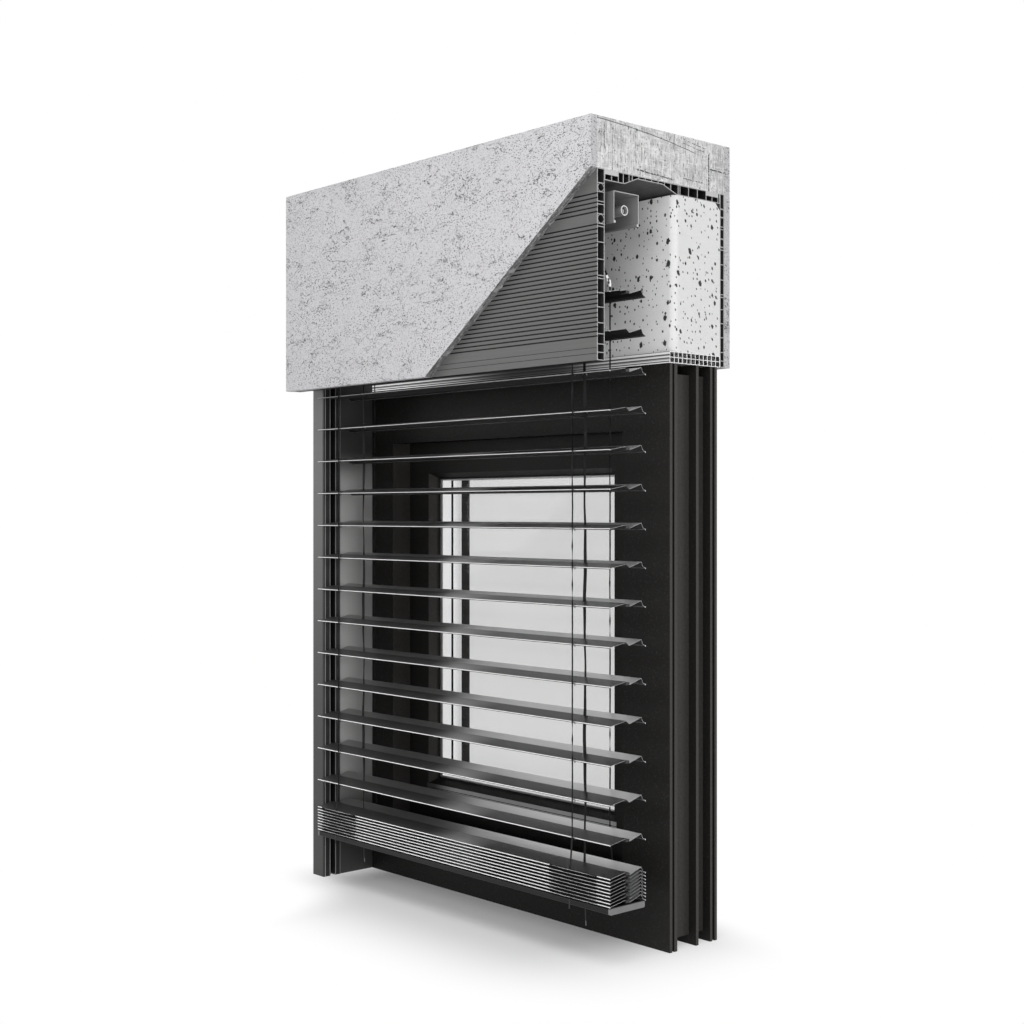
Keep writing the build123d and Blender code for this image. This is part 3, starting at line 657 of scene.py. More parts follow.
def spots(plane, scale, chance, small, large, ragged=SPOT_RAGGED):
    """Scattered spots: some cells hold one, of a random size in parts of a cell."""
    reach = cells(plane, scale, voronoi_dimensions="2D")
    reach = reach + (noise(plane, scale * 9, 2) - 0.5) * ragged
    luck = {0: cells(plane, scale, "Color", voronoi_dimensions="2D")}
    draw, size = [plane.node("ShaderNodeSeparateColor", None, luck, k) for k in (0, 1)]
    size = size * (large - small) + small
    return (1 - (reach - size).step(-0.02, 0.02)) * draw.step(1 - chance, 1.01 - chance)


def foam(spot):
    x, y, z = spot.axes()
    plane = wall_plane(x, y, z, up=0.72)
    marks = 0
    for layer in FOAM_SPOTS:
        marks = spots(plane, *layer) + marks
    marks = marks.step(0.0, 1.0)
    shade = noise(spot, 300, 2).mix(grey(0.008), grey(0.05))
    beads = cells(spot, 190, feature="DISTANCE_TO_EDGE").step(0.0, 0.10)
    wire = noise(stretch(spot, (6, 6, 520)), 1, 3, 0.6).step(0.56, 0.72)
    drift = noise(spot, 7, 2)
    base = drift.mix(grey(FOAM * 0.96), grey(FOAM * 1.03))
    base = ((1 - beads) * 0.5).mix(base, grey(FOAM * 0.90))
    base = (wire * 0.22).mix(base, grey(FOAM * 0.80))
    # A painted glow lights the foam's street face, stronger low down and fading near the cut
    # end.
    front = (1 - facing(spot, "Y").step(-0.8, -0.4)) * (1 - x.step(*FOAM_END))
    lift = z.step(*FOAM_HEIGHT).mix(grey(0.17), grey(0.03))
    return {
        "Base Color": marks.mix(base, shade),
        "Roughness": 0.72 + drift * 0.15,
        "Normal": bumps(beads * 0.5 - marks * 0.6, 0.0003),
        "Emission Color": (front * (1 - marks)).mix(grey(0.0), lift),
    }


dress(finish_of("bead foam", foam, Emission_Strength=1.0), "insulation_block")


# Lintel
# Light reinforced mortar cast on top of the box between the plaster coats.
# The sawn end shows drawn-out pores, a crack and the threads of the mesh.

MORTAR = 0.65
# The crack's height, its slope and its bow over the depth, and where it ends.
CRACK = (1.3325, -0.11, -0.30)
CRACK_FRONT = (-0.170, -0.165)
CRACK_REAR = (0.075, 0.085)
# Level threads: front, rear, height, slope and half thickness.
LEVEL_MARKS = (
    (-0.062, 0.028, 1.2722, -0.045, 0.0011),
    (0.050, 0.097, 1.2757, 0.0, 0.0006),
    (0.115, 0.168, 1.3006, 0.0, 0.0012),
    (0.050, 0.104, 1.3370, -0.14, 0.0006),
    (0.048, 0.100, 1.3310, -0.12, 0.0005),
)
# Upright threads: foot, head, depth and half thickness.
UPRIGHT_MARKS = (
    (1.262, 1.324, 0.1130, 0.0015),
    (1.326, 1.345, 0.0262, 0.0006),
    (1.300, 1.335, -0.1370, 0.0007),
    (1.290, 1.318, -0.0510, 0.0006),
    (1.266, 1.330, -0.1190, 0.0004),
)
SAWN_END = (0.4235, 0.4245)


def thin_line(off, half):
    """1 along a line, from the distance off its middle."""
    return 1 - off.step(half * 0.5, half * 1.4)


def sawn_marks(spot, y, z):
    """The crack, the mesh threads and the torn pores on the sawn end."""
    wander = noise(spot, 30, 3, 0.6) - 0.5
    dashes = noise(spot, 240, 2, 0.6).step(0.42, 0.52)
    marks = noise(stretch(spot, (1, 1.0, 0.30)), 420, 2, 0.6).step(0.60, 0.66) * 0.60
    marks = marks + noise(stretch(spot, (1, 0.40, 1.0)), 520, 2, 0.6).step(0.62, 0.68) * 0.50
    height, slope, bow = CRACK
    off = (z + wander * 0.002 - (height + y * slope + y * y * bow)).size()
    crack = (1 - off.step(0.0002, 0.0011)) * y.step(*CRACK_FRONT) * (1 - y.step(*CRACK_REAR))
    marks = marks + crack * 0.75
    for low, high, level, slope, half in LEVEL_MARKS:
        off = (z + wander * 0.003 - y * slope - (level - (low + high) * 0.5 * slope)).size()
        marks = marks + thin_line(off, half) * within(y, low, high, 0.001) * dashes
    for foot, head, place, half in UPRIGHT_MARKS:
        thread = thin_line((y + wander * 0.001 - place).size(), half)
        marks = marks + thread * within(z, foot, head, 0.004) * (0.4 + dashes * 0.5)
    return marks.step(0.0, 1.0)


def mortar(spot):
    x, y, z = spot.axes()
    streaks = noise(stretch(spot, (1, 260, 22)), 1.6, 4, 0.7)
    cross = noise(stretch(spot, (1, 26, 300)), 1.4, 3, 0.65)
    cloud = noise(spot, 55, 4, 0.6)
    stops = ((0.38, MORTAR * 0.62), (0.50, MORTAR), (0.62, MORTAR * 1.34))
    drawn = streaks * 0.62 + cloud * 0.38
    tone = spot.node("ShaderNodeValToRGB", {"stops": stops}, {"Fac": drawn})
    tone = (cross.step(0.55, 0.62) * 0.5).mix(tone, grey(MORTAR * 1.40))
    plane = spot.node("ShaderNodeCombineXYZ", None, {"X": y, "Y": z * 0.6})
    patches = spots(plane, 58, 0.20, 0.08, 0.20, 0.2)
    tone = (patches * 0.8).mix(tone, grey(0.86))
    marks = sawn_marks(spot, y, z)
    tone = marks.mix(tone, grey(0.045))
    body = cloud.mix(grey(MORTAR * 0.85), grey(MORTAR * 1.05))
    sawn = x.step(*SAWN_END)
    return {
        "Base Color": sawn.mix(body, tone),
        "Roughness": 0.70 + cloud * 0.2,
        "Normal": bumps(streaks * 0.4 + cloud * 0.4 - marks, 0.0007),
    }


dress(finish_of("cast mortar", mortar), "lintel_block")


# Plaster
# Two coats of mineral render, felted, so that its skin is pitted and creased in wavy lines.
# The street coat is broken off along a slant, and its edge shows the coarse core.

RENDER = 0.59
PIT_LAYERS = ((104, 0.78, 0.06, 0.15), (148, 0.82, 0.07, 0.16), (205, 0.75, 0.10, 0.18))


def lilac(shade):
    """The plaster's faintly cool grey."""
    return (shade, shade * 0.988, shade * 1.02, 1)


def fine_crease(wandering):
    """1 along the thin lines where a wandering pattern passes its middle."""
    return 1 - (wandering - 0.5).size().step(0.006, 0.016)


def render_coat(spot):
    x, y, z = spot.axes()
    tilted = wall_plane(x + z * 0.35, y, z, 0.85, 1.25)
    crowd = noise(stretch(spot, (0.8, 1, 1.5)), 19, 3, 0.6).step(0.36, 0.60)
    pits = 0
    for layer in PIT_LAYERS:
        pits = spots(tilted, *layer) + pits
    pits = pits.step(0.0, 1.0) * (0.50 + crowd * 0.50)
    dashes = noise(spot, 190, 2, 0.6).step(0.42, 0.50)
    place = noise(stretch(spot, (1, 1, 1.8)), 13, 3, 0.6).step(0.52, 0.57)
    first = fine_crease(noise(stretch(spot, (15, 15, 40)), 1, 4, 0.62, 0.6))
    second = fine_crease(noise(stretch(spot, (24, 24, 52), (0.3, 0.7, 0.2)), 1, 4, 0.6, 0.4))
    second = second * dashes * noise(spot, 21, 2).step(0.50, 0.55) * 0.8
    creases = first * place * dashes + second
    grain = noise(spot, 600, 3, 0.7)
    drift = noise(spot, 5, 3)
    tone = drift.mix(lilac(RENDER * 0.95), lilac(RENDER * 1.05))
    tone = (1 - grain.step(0.36, 0.46)).mix(tone, lilac(RENDER * 0.80))
    tone = (grain.step(0.56, 0.70) * 0.5).mix(tone, lilac(RENDER * 1.16))
    # Pits and creases are painted dark as their shade.
    dark = (pits * 0.72 + creases * 0.66).step(0.0, 1.0)
    return {
        "Base Color": dark.mix(tone, grey(0.05)),
        "Roughness": 0.78 + grain * 0.15,
        "Normal": bumps(grain * 0.2 - pits * 0.7 - creases * 0.8, 0.0006),
    }


BREAK_RUN = (0.807, 0.590)


def broken_core(spot):
    """The broken edge: coarse sand drawn out along the slant, with torn dark holes."""
    x, y, z = spot.axes()
    along = x * BREAK_RUN[0] + z * BREAK_RUN[1]
    sockets = {"X": along * 42, "Y": y * 330, "Z": (z - x) * 60}
    streaks = noise(spot.node("ShaderNodeCombineXYZ", None, sockets), 1, 4, 0.65)
    stones = cells(spot, 260)
    cloud = noise(spot, 60, 3, 0.6)
    tone = streaks.step(0.40, 0.62).mix(grey(0.13), grey(0.36))
    tone = (stones.step(0.3, 0.7) * 0.5).mix(tone, grey(0.10))
    tone = (cloud.step(0.52, 0.66) * 0.7).mix(tone, grey(0.50))
    return {
        "Base Color": tone,
        "Roughness": 0.85 + cloud * 0.1,
        "Normal": bumps(stones * 0.5 + streaks * 0.7, 0.0014),
    }


felted = finish_of("felted render", render_coat, Specular_IOR_Level=0.3)
rubble = finish_of("broken render core", broken_core, Specular_IOR_Level=0.2)
dress(felted, "rear_render")

CHIP = 0.0009
EDGE_CUTS = 150
EDGE_LAYERS = 6
BREAK_FOOT = 0.413
BREAK_HEAD = 1.264
CHIP_MARGIN = 0.004
SKIN_MARGIN = 0.001
CORE_REACH = 0.003
low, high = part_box("front_render")
cut_foot = Vector((high.x - BREAK_FOOT, low.y, low.z))
cut_head = Vector((high.x, low.y, BREAK_HEAD))
outline = [
    (low.x, low.z),
    (cut_foot.x, low.z),
    (cut_head.x, cut_head.z),
    (high.x, high.z),
    (low.x, high.z),
]
coat = bmesh.new()
corners = [coat.verts.new((x, high.y, z)) for x, z in outline]
coat.faces.new(corners)
slant = [edge for edge in coat.edges if set(edge.verts) == {corners[1], corners[2]}]
bmesh.ops.subdivide_edges(coat, edges=slant, cuts=EDGE_CUTS)
thickness = Vector((0, (low.y - high.y) / EDGE_LAYERS, 0))
for layer in range(EDGE_LAYERS):
    faces = [face for face in coat.faces if len(face.verts) > 4]
    front = min(faces, key=lambda face: face.calc_center_median().y)
    grown = bmesh.ops.extrude_face_region(coat, geom=[front])
    if layer:
        bmesh.ops.delete(coat, geom=[front], context="FACES_ONLY")
    bmesh.ops.translate(coat, vec=thickness, verts=pushed_points(grown))
run = (cut_head - cut_foot).normalized()
run_length = (cut_head - cut_foot).length
inward = Vector((-run.z, 0, run.x))


def off_the_break(point):
    """How far a point of the coat lies from the slanted break."""
    away = Vector(point) - cut_foot
    return Vector((away.x, 0, away.z)).dot(inward)


dice = random.Random(7)
for vert in coat.verts:
    along = (vert.co - cut_foot).dot(run)
    chipped = CHIP_MARGIN < along < run_length - CHIP_MARGIN
    if abs(off_the_break(vert.co)) < 1e-5 and chipped:
        vert.co += inward * dice.uniform(0, CHIP) + run * dice.uniform(-CHIP, CHIP)
        if low.y + SKIN_MARGIN < vert.co.y < high.y - SKIN_MARGIN:
            vert.co.y += dice.uniform(-CHIP, CHIP)
street_coat = keep_piece(
    "street_render", coat, felted, "box_and_window", smooth=False
)
street_coat.data.materials.append(rubble)
for polygon in street_coat.data.polygons:
    at_break = abs(off_the_break(polygon.center)) < CORE_REACH
    if len(polygon.vertices) == 4 and at_break and abs(polygon.normal.y) < 0.9:
        polygon.material_index = 1
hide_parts("front_render")


# Head rail and its hangers
# A roll-formed channel of coated sheet, open downwards, held up by bent sheet clips.
# The coat is a satin mid grey that shows the long lines of the rolling.

HEAD_COAT = 0.27


def rolled_coat(spot):
    x, y, z = spot.axes()
    lines = noise(stretch(spot, (1.2, 260, 260)), 3, 3)
    drift = noise(spot, 6, 2)
    tone = drift.mix(grey(HEAD_COAT * 0.88), grey(HEAD_COAT * 1.14))
    # The cut rim is paler: a saw burr with a painted highlight.
    return {
        "Base Color": sawn_rim(x).mix(tone, grey(HEAD_COAT * 1.9)),
        "Roughness": 0.34 + lines * 0.16,
        "Normal": bumps(lines, 0.00012),
    }


def zinc(spot):
    flake = spot.node("ShaderNodeSeparateColor", None, {0: cells(spot, 160, "Color")})
    fine = noise(spot, 500, 2)
    return {
        "Base Color": flake.mix(grey(0.40), grey(0.62)),
        "Roughness": 0.32 + flake * 0.15 + fine * 0.08,
        "Normal": bumps(fine, 0.0001),
    }


dress(finish_of("rolled grey coat", rolled_coat, Metallic=0.30), "head_rail")
dress(finish_of("galvanised sheet", zinc, Metallic=0.9), "rail_hangers")


# Drive
# A motor in the middle of the rail turns a hexagonal shaft with a sleeve at its open end.
# Moulded cradles carry the tape reels on the shaft and the tilt drums round it.

SHAFT_Y, SHAFT_Z = -0.0872, 1.2055
SOCKET_GAP = (0.0048, 0.0062)
SOCKET_BARS = (0.0012, 0.0019)
BARS_REACH = (0.0044, 0.0046)
SLEEVE_REACH = (0.0054, 0.0056)


def turned_steel(spot):
    """Turned steel. On its end the socket's gap and slots have painted shade, and the
    recessed hex end is painted pale against its shade.
    """
    x, y, z = spot.axes()
    rings = noise(stretch(spot, (700, 3, 3)), 1.5, 2)
    aside = y - SHAFT_Y
    sockets = {"Y": aside, "Z": z - SHAFT_Z}
    reach = spot.node("ShaderNodeCombineXYZ", None, sockets).length()
    socket_shade = within(reach, *SOCKET_GAP)
    slot_shade = within(aside.size(), *SOCKET_BARS) * (1 - reach.step(*BARS_REACH))
    # The hex end, recessed in the sleeve, is painted near white: painted light against its
    # shade.
    sleeve = reach.step(*SLEEVE_REACH).mix(grey(0.95), grey(0.62))
    end = facing(spot, "X").step(0.5, 0.8)
    steel = end.mix(rings.mix(grey(0.20), grey(0.32)), sleeve)
    return {
        "Base Color": ((socket_shade + slot_shade) * end).step(0.0, 1.0).mix(steel, grey(0.03)),
        "Roughness": 0.26 + rings * 0.2,
        "Normal": bumps(rings, 0.0001),
    }


def moulded(tone, rough=0.45):
    """Moulded plastic with a faint fine grain."""
    def recipe(spot):
        spark = noise(spot, 800, 2)
        drift = noise(spot, 40, 2)
        return {
            "Base Color": drift.mix(grey(tone * 0.8), grey(tone * 1.25)),
            "Roughness": rough + spark * 0.2,
            "Normal": bumps(spark, 0.0002),
        }
    return recipe


black_moulding = finish_of("black moulding", moulded(0.022))
dress(finish_of("turned steel", turned_steel, Metallic=0.35), "drive_shaft")
dress(black_moulding, "bearing_housings", "head_rail_cap")
dress(finish_of("grey moulding", moulded(0.22)), "tape_reels", "tilt_drums")
dress(finish_of("motor tube", moulded(0.06, 0.35), Metallic=0.5), "drive_motor")


# Guide rail
# An extruded rail coated like the slats, with a soft lining in its slot.
# A box section behind it stands it off the window.

BLIND_Y = -0.08305
GUIDE_FACE = (-0.3900, -0.3890)
BEHIND_GUIDE = (-0.3845, -0.3835)
SLOT_LIP = (0.00565, 0.00745)
OUTER_EDGE = (0.0172, 0.0192)
# Where the painted light on the carrier's side ends: at its foot, its head and its rear.
CARRIER_FOOT = (0.06, 0.26)
CARRIER_HEAD = (0.775, 0.850)
CARRIER_REAR = (0.012, 0.026)


def upright_lines(spot):
    """The long lines that a die leaves up an extrusion."""
    return noise(stretch(spot, (220, 220, 1.4)), 3, 3)


def powder_coat(spot, rough):
    """An extrusion's coat: the die's lines under it, its roughness and its relief."""
    drawn = upright_lines(spot)
    peel = noise(spot, 480, 2)
    relief = bumps(drawn * 0.4 + peel * 0.6, 0.00012)
    return drawn, rough + drawn * 0.12 + peel * 0.06, relief


def guide_coat(spot):
    """The guide's coat: painted shade towards its foot and on its slotted face, with a
    painted highlight along each edge.
    """
    x, y, z = spot.axes()
    drawn, rough, relief = powder_coat(spot, 0.38)
    off = (y - BLIND_Y).size()
    face = x.step(*GUIDE_FACE)
    bright = face * (within(off, *SLOT_LIP) + within(off, *OUTER_EDGE))
    bright = bright * (1 - x.step(*BEHIND_GUIDE))
    # Painted shade darkens the coat towards the foot.
    tone = z.step(0.20, 0.90).mix(grey(0.036, 0.01), grey(0.118, 0.01))
    tone = (drawn * 0.2).mix(tone, grey(0.12, 0.01))
    # The slotted face is painted dark as its shade, and its edges light as highlights.
    tone = face.mix(tone, grey(0.022))
    tone = bright.mix(tone, grey(0.30))
    return {"Base Color": tone, "Roughness": rough, "Normal": relief}


def carrier_coat(spot):
    """The carrier's coat: painted light on its side to the opening, with painted shade at
    the ends and rear.
    """
    x, y, z = spot.axes()
    drawn = upright_lines(spot)
    pale = z.step(*CARRIER_FOOT) * (1 - z.step(*CARRIER_HEAD)) * (1 - y.step(*CARRIER_REAR))
    # Its side to the opening is painted pale as light, and dark as shade around that.
    tone = pale.mix(grey(0.055, 0.01), drawn.mix(grey(0.46, 0.01), grey(0.54, 0.01)))
    tone = facing(spot, "X").step(*FACED).mix(grey(0.088, 0.01), tone)
    return {"Base Color": tone, "Roughness": 0.38 + drawn * 0.14}


HANGING = 15
SLAT_NUMBERS = range(1, HANGING + 1)
dress(finish_of("guide coat", guide_coat, Specular_IOR_Level=0.35), "guide_rail")
dress(finish_of("carrier coat", carrier_coat, Metallic=0.10), "rail_carrier")
dress(black_rubber, "rail_lining")
dress(black_moulding, *[f"guide_shoe_{k:02d}" for k in SLAT_NUMBERS])


# Slats
# Roll-formed aluminium strip, coil-coated dark grey, with a hem along each edge.
# The coat is glossy; a soft band over the middle of each slat is a painted reflection.

# Where the painted sheen and the painted reflection on the rear plate rise and fall along
# the slat.
SHEEN_RISE = (-0.050, 0.045)
SHEEN_FALL = (0.055, 0.140)
MIRROR_RISE = (-0.035, 0.060)
HEM_EDGES = (-0.1221, -0.0428)
REAR_PLATE = (-0.0800, -0.0515)
END_NIPPLE = (0.0045, 0.0050)


def coil_coat(spot):
    """The coat: painted reflections on its middle and rear half, painted highlights on the
    hems and cut ends, painted shade below.
    """
    x, y, z = spot.axes()
    drift = noise(stretch(spot, (3, 12, 12)), 2, 2)
    up = facing(spot, "Z")
    hem = (1 - within(y, *HEM_EDGES)) * up.step(0.0, 0.45)
    plate = within(y, *REAR_PLATE, 0.0010) * up.step(0.1, 0.4)
    # The cut ends are painted pale as a highlight.
    cut = facing(spot, "X").size().step(0.6, 0.8) * (y - BLIND_Y).size().step(*END_NIPPLE)
    # Faces looking down are painted dark as their shade.
    shaded = 1 - up.step(-0.2, 0.2)
    # A painted sheen brightens the middle of the slat, and its right part is painted darker.
    rise, fall = x.step(*SHEEN_RISE), x.step(*SHEEN_FALL)
    tone = rise.mix(grey(0.046), grey(0.25))
    tone = fall.mix(tone, grey(0.016))
    tone = shaded.mix(tone, grey(0.007))
    dim = drift.mix(grey(0.42), grey(0.52))
    bright = drift.mix(grey(0.82), grey(0.92))
    # The rear plate is painted bright as a reflection.
    tone = plate.mix(tone, x.step(*MIRROR_RISE).mix(dim, bright))
    # The hems are painted bright as highlights.
    tone = hem.mix(tone, grey(0.88))
    metal = hem * 0.35 + plate * 0.80 - plate * rise * (1 - fall) * 0.14
    return {
        "Base Color": cut.mix(tone, grey(0.50)),
        "Metallic": metal.step(0.0, 1.0),
        "Roughness": 0.34 + drift * 0.04 + plate * 0.04 + shaded * 0.3,
    }


slat_coat = finish_of("coil coat", coil_coat, Specular_IOR_Level=0.42)
dress(slat_coat, "packed_slats", *[f"slat_{k:02d}" for k in SLAT_NUMBERS])


# Bottom rail
# An extruded hollow rail in the slats' colour, closed by moulded caps.
# The left cap's lug runs in the guide slot.

RAIL_COAT = 0.010


def bottom_rail_coat(spot):
    drawn, rough, relief = powder_coat(spot, 0.36)
    drift = noise(spot, 5, 2)
    tone = drift.mix(grey(RAIL_COAT * 0.88, 0.01), grey(RAIL_COAT * 1.12, 0.01))
    return {"Base Color": tone, "Roughness": rough, "Normal": relief}


rail_coat = finish_of("bottom rail coat", bottom_rail_coat, Specular_IOR_Level=0.2)
dress(rail_coat, "bottom_rail")
dress(finish_of("cap moulding", moulded(0.17)), "bottom_rail_caps")


# Ladder cords
# Braided polyester, 2.7 mm thick, one in front of the slats and one behind at each station.
# They run from the bottom rail past every slat to the tilt drums in the head rail.

LADDERS = (0.342, -0.3055)
CORD_FRONT = BLIND_Y - 0.04295
CORD_BACK = BLIND_Y + 0.04415
CORD = 0.00135
FIRST_PIVOT = 0.1993
PITCH = 0.0626
SWAY = 0.0006
BRAID_RATE = 2100


def braid(dark, light):
    """A braid of crossing strands, from the tones of its hollows and its ribs."""
    def recipe(spot):
        x, y, z = spot.axes()
        left = ((z + x * 0.8 + y * 0.8) * BRAID_RATE).wave()
        right = ((z - x * 0.8 - y * 0.8) * BRAID_RATE).wave()
        ribs = left * right * 0.5 + 0.5
        fluff = noise(spot, 900, 2)
        return {
            "Base Color": ribs.mix(grey(dark), grey(light)),
            "Roughness": 0.75 + fluff * 0.2,
            "Normal": bumps(ribs * 0.8 + fluff * 0.2, 0.0004),
        }
    return recipe


braided = finish_of("braided cord", braid(0.008, 0.045), Specular_IOR_Level=0.12)


def strand(shape, points, radius=CORD, sides=10):
    """Adds a strand along straight runs to a bmesh, closed at both ends."""
    points = [Vector(p) for p in points]
    rings = []
    for number, point in enumerate(points):
        back = points[max(number - 1, 0)]
        ahead = points[min(number + 1, len(points) - 1)]
        turn = (ahead - back).to_track_quat("Z", "Y").to_matrix().to_4x4()
        turn.translation = point
        made = bmesh.ops.create_circle(shape, segments=sides, radius=radius, matrix=turn)
        rings.append(made["verts"])
    for first, second in zip(rings, rings[1:]):
        for k in range(sides):
            shape.faces.new((first[k], first[k - 1], second[k - 1], second[k]))
    shape.faces.new(rings[0])
    shape.faces.new(list(reversed(rings[-1])))


def pivot(number):
    """The height of a slat's pin."""
    return FIRST_PIVOT + (number - 1) * PITCH


# How much of its depth each cord keeps when the slats are tilted.
FOLDS = (("front", CORD_FRONT, 0.396), ("back", CORD_BACK, 0.55))
for number in SLAT_NUMBERS[1:]:
    upper, lower = pivot(number), pivot(number - 1)
    for side, depth, fold in FOLDS:
        run_of_cord = bmesh.new()
        for x in LADDERS:
            middle = (x + dice.uniform(-SWAY, SWAY), depth, (upper + lower) / 2)
            strand(run_of_cord, [(x, depth, upper), middle, (x, depth, lower)])
        name = f"ladder_{side}_{number:02d}"
        cord = keep_piece(name, run_of_cord, braided, f"shoe_{number:02d}")
        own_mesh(cord)

# The last run leans out from the lowest hanging slat to the top of the stack.
STACK_TOP = 0.146
LEAN = 0.005
LEAN_STEPS = 6
for side, depth, out in (("front", CORD_FRONT, -1), ("back", CORD_BACK, 1)):
    last_run = bmesh.new()
    drop = pivot(1) - STACK_TOP
    for x in LADDERS:
        shares = [k / LEAN_STEPS for k in range(LEAN_STEPS + 1)]
        strand(last_run, [(x, depth + out * LEAN * s, pivot(1) - drop * s) for s in shares])
    cord = keep_piece(f"ladder_{side}_01", last_run, braided, None)
    start = (0, depth, pivot(1) - 0.004)
    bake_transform(cord)

# Above the top slat each cord leans in to its drum. SIDES gives the drum's flank,
# the cord's depth and how far above the top slat it bends.
DRUM_REACH = 0.0183
DRUM_FOOT, DRUM_HEAD = 1.1820, 1.1955
TOP_PIVOT = pivot(HANGING)
LEAN_TOP = 1.1560
SIDES = ((-1, CORD_FRONT, 0.0115), (1, CORD_BACK, 0.0250))
top_run = bmesh.new()
for x in LADDERS:
    for side, depth, rise in SIDES:
        drum = SHAFT_Y + side * DRUM_REACH
        bend = TOP_PIVOT + rise
        way_in = (
            (0, TOP_PIVOT),
            (0, bend - 0.0055),
            (0.015, bend),
            (0.080, bend + 0.005),
            (0.95, LEAN_TOP),
            (0.99, LEAN_TOP + 0.006),
            (1, DRUM_FOOT),
            (1, DRUM_HEAD),
        )
        strand(top_run, [(x, depth * (1 - s) + drum * s, z) for s, z in way_in])
top_cord = keep_piece("ladder_top", top_run, braided, "box_and_window")
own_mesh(top_cord)
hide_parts("ladder_cords")


# Drum cord ferrules
# Pale moulded beads, clamped on the ladder cords where they bend in towards the drums.
# A small eye above each joins the cord to the one that winds on the drum.

BEAD = (0.0020, 0.0055)
STOP = (0.0018, 0.0026)
CHAMFER = (0.0005, 0.0004)
EYE_WIRE = 0.0006
EYE_WIDE, EYE_TALL = 0.0020, 0.0026


def full_turn(count):
    """The angles of a full turn, with the first again at its end."""
    return [math.tau * k / count for k in range(count + 1)]


def crimp(spot):
    skin = noise(spot, 700, 2)
    return {
        "Base Color": skin.mix(grey(0.86), grey(0.95)),
        "Roughness": 0.35 + skin * 0.2,
        # A painted glow keeps the beads pale in the shade of the box.
        "Emission Color": skin.mix(grey(0.40), grey(0.60)),
    }


def clamped_bead(shape, middle, along, radius, half, chamfer):
    """A bead with chamfered ends on a cord."""
    places = (-half, chamfer - half, half - chamfer, half)
    strand(shape, [middle + along * place for place in places], radius, 14)


crimps = bmesh.new()
for x in LADDERS:
    for side, edge, rise in SIDES:
        drum = SHAFT_Y + side * DRUM_REACH
        base = Vector((x, edge, TOP_PIVOT + rise))
        lean = Vector((0, drum - edge, LEAN_TOP - base.z)).normalized()
        upright = Vector((0, (drum - edge) * 0.04, 0.008)).normalized()
        clamped_bead(crimps, base + upright * 0.0025, upright, *BEAD, CHAMFER[0])
        eye = base + lean * 0.0095
        round_eye = [(EYE_WIDE * math.cos(a), EYE_TALL * math.sin(a)) for a in full_turn(14)]
        strand(crimps, [eye + Vector((0, *point)) for point in round_eye], EYE_WIRE, 8)
        clamped_bead(crimps, base + lean * 0.0145, lean, *STOP, CHAMFER[1])
pale_moulding = finish_of("pale moulding", crimp, Emission_Strength=1.0)
ferrules = keep_piece(
    "drum_cord_ferrules", crimps, pale_moulding, "box_and_window"
)
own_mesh(ferrules)


# Hem clips
# A spring-wire loop hooks each ladder cord to the hem, at the front and rear edge of a slat.
# The slat hangs from these clips, so nothing crosses its face.

HEM_FRONT = (-0.04025, -0.0028)
HEM_REAR = (0.04145, -0.0043)
WIRE = 0.0005
CLIP_SHIFT = 0.0034
CLIP_PROUD = 0.0003
CLIP_DEEP = 0.0021
CLIP_TALL = 0.0034
CLIP_TWIST = 0.00036


def clip_loop(shape, x, y, z):
    """A wire loop round the hem, standing across it."""
    route = []
    for a in full_turn(12):
        aside = CLIP_TWIST * math.sin(2 * a)
        route.append((x + aside, y + CLIP_DEEP * math.cos(a), z + CLIP_TALL * math.sin(a)))
    strand(shape, route, WIRE, 6)


for number in SLAT_NUMBERS:
    wires = bmesh.new()
    for x in LADDERS:
        for out, (reach, drop) in ((-1, HEM_FRONT), (1, HEM_REAR)):
            y = BLIND_Y + reach + out * CLIP_PROUD
            clip_loop(wires, x + CLIP_SHIFT, y, pivot(number) + drop)
    slat = f"slat_{number:02d}"
    keep_piece(f"hem_clips_{number:02d}", wires, black_moulding, slat)


# Slack cord of the stacked slats
# Between stacked slats the ladder cord folds into flat loops before and behind the hems.
# Each loop is as long as the cord between two slats.

STACK = 9
FIRST_PACKED = 0.1017
PACKED_PITCH = 0.0055
HEM_DROPS = ((CORD_FRONT, -0.0030), (CORD_BACK, -0.0045))
LOOP_HALF = 0.054
LOOP_RISE = 0.0010
LOOP_STRAND = 0.0006
LOOP_SHIFT = 0.002
LOOP_WOBBLE = 0.0002
TOP_LOOP = 0.001
slack = bmesh.new()
for row in range(STACK):
    level = FIRST_PACKED + row * PACKED_PITCH
    above = PACKED_PITCH / 2 if row < STACK - 1 else TOP_LOOP
    for x in LADDERS:
        for depth, hem in HEM_DROPS:
            z = level + hem + above
            middle = x + dice.uniform(-LOOP_SHIFT, LOOP_SHIFT)
            route = []
            for a in full_turn(32):
                reach = LOOP_HALF * max(-1, min(1, 1.35 * math.cos(a)))
                wobble = LOOP_WOBBLE * math.sin(9 * a + row)
                route.append((middle + reach, depth + wobble, z + LOOP_RISE * math.sin(a)))
            strand(slack, route, LOOP_STRAND, 6)
# The loops take a darker braid than the ladder cords: painted shade between the stacked
# slats.
shaded_slack_cord = finish_of("slack cord", braid(0.003, 0.012), Specular_IOR_Level=0.08)
keep_piece("stacked_cord_loops", slack, shaded_slack_cord, "bottom_packet")


# Lift tapes
# Woven polyester tape, 6 mm wide, threaded through the slats' slots to the reels.
# It hangs in gentle waves because the blind isn't pulled tight.

TAPES = (0.3275, -0.2825)
TAPE_HALF = 0.003
TAPE_THICK = 0.0004
TAPE_FOOT, TAPE_TOP = 0.096, 1.1919
TAPE_STEPS = 176
WAVE = 0.0013
TWIST = 0.30
WEFT_RATE, WARP_RATE = 5200, 7800


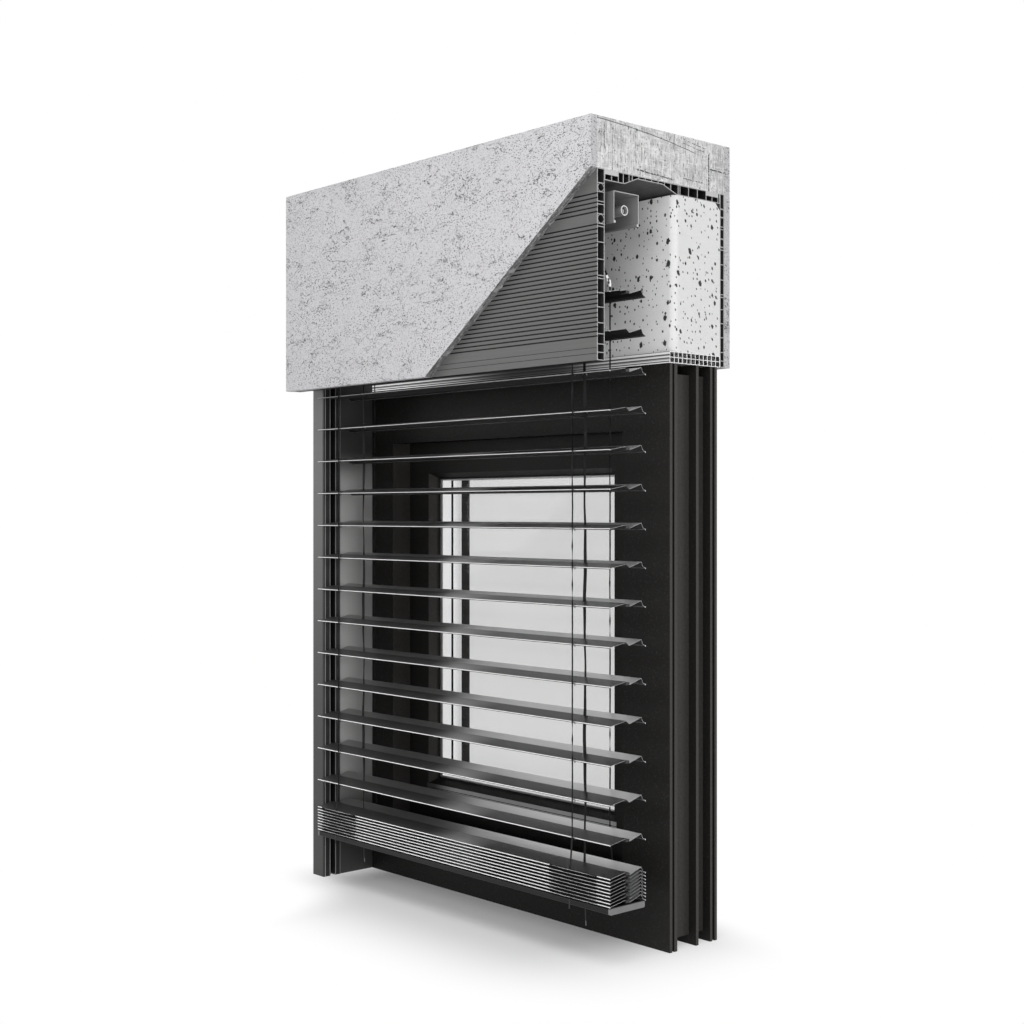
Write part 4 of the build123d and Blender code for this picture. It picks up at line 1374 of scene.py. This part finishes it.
def webbing(spot):
    x, y, z = spot.axes()
    weft = (z * WEFT_RATE).wave() * 0.5 + 0.5
    warp = (x * WARP_RATE).wave() * 0.5 + 0.5
    fluff = noise(spot, 800, 2)
    return {
        "Base Color": (weft * warp).mix(grey(0.012), grey(0.045)),
        "Roughness": 0.7 + fluff * 0.2,
        "Normal": bumps(weft * 0.5 + warp * 0.5, 0.0003),
    }


woven = finish_of("woven tape", webbing, Specular_IOR_Level=0.2)
tapes = bmesh.new()
for index, x in enumerate(TAPES):
    ribbon = bmesh.ops.create_grid(tapes, x_segments=4, y_segments=TAPE_STEPS, size=0.5)
    for vert in ribbon["verts"]:
        offset = vert.co.x * 2 * TAPE_HALF
        up = vert.co.y + 0.5
        z = TAPE_FOOT + up * (TAPE_TOP - TAPE_FOOT)
        held = min(1.0, up * 30, (1 - up) * 30)
        swing = math.sin(z * 31 + index) * 0.7 + math.sin(z * 83 + 2 * index) * 0.3
        twist = TWIST * math.sin(z * 23 + 1.3 * index) * held
        y = BLIND_Y + (WAVE * swing + offset * math.sin(twist)) * held
        vert.co = (x + offset * math.cos(twist), y, z)
bmesh.ops.solidify(tapes, geom=list(tapes.faces), thickness=TAPE_THICK)
lift_tape = keep_piece("lift_tape_pair", tapes, woven, "box_and_window")
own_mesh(lift_tape)
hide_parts("lift_tapes")


# Cord and tape ends
# The cords and tapes pass through the bottom rail and end in short tails below it.
# The ladder cords come down in front of the rail, and the tapes through its middle.

RAIL_FOOT = 0.086
TAPE_END = 0.0435
CORD_TAIL = 0.0010
TAPE_TAIL = 0.0009
SINGED = (0.048, 0.054)
tails = bmesh.new()
for x in LADDERS:
    start = Vector((x, CORD_FRONT - 0.0062, RAIL_FOOT + 0.0125))
    tail = [start + Vector((0.0003, -0.0004, -0.0025)) * k for k in range(7)]
    strand(tails, tail, CORD_TAIL, 8)
for x in TAPES:
    start = Vector((x, BLIND_Y, RAIL_FOOT + 0.0008))
    drop = (start.z - TAPE_END) / 8
    tail = [start + Vector((0.0002 * math.sin(k), 0.0003 * k, -drop * k)) for k in range(9)]
    strand(tails, tail, TAPE_TAIL, 8)


def melted(spot):
    """The tails, singed at their tips, which shine."""
    x, y, z = spot.axes()
    tip = 1 - z.step(*SINGED)
    return {"Base Color": tip.mix(grey(0.015), grey(0.16)), "Roughness": 0.6 - tip * 0.25}


singed_tails = finish_of("singed tails", melted)
keep_piece("cord_tails", tails, singed_tails, "bottom_packet")
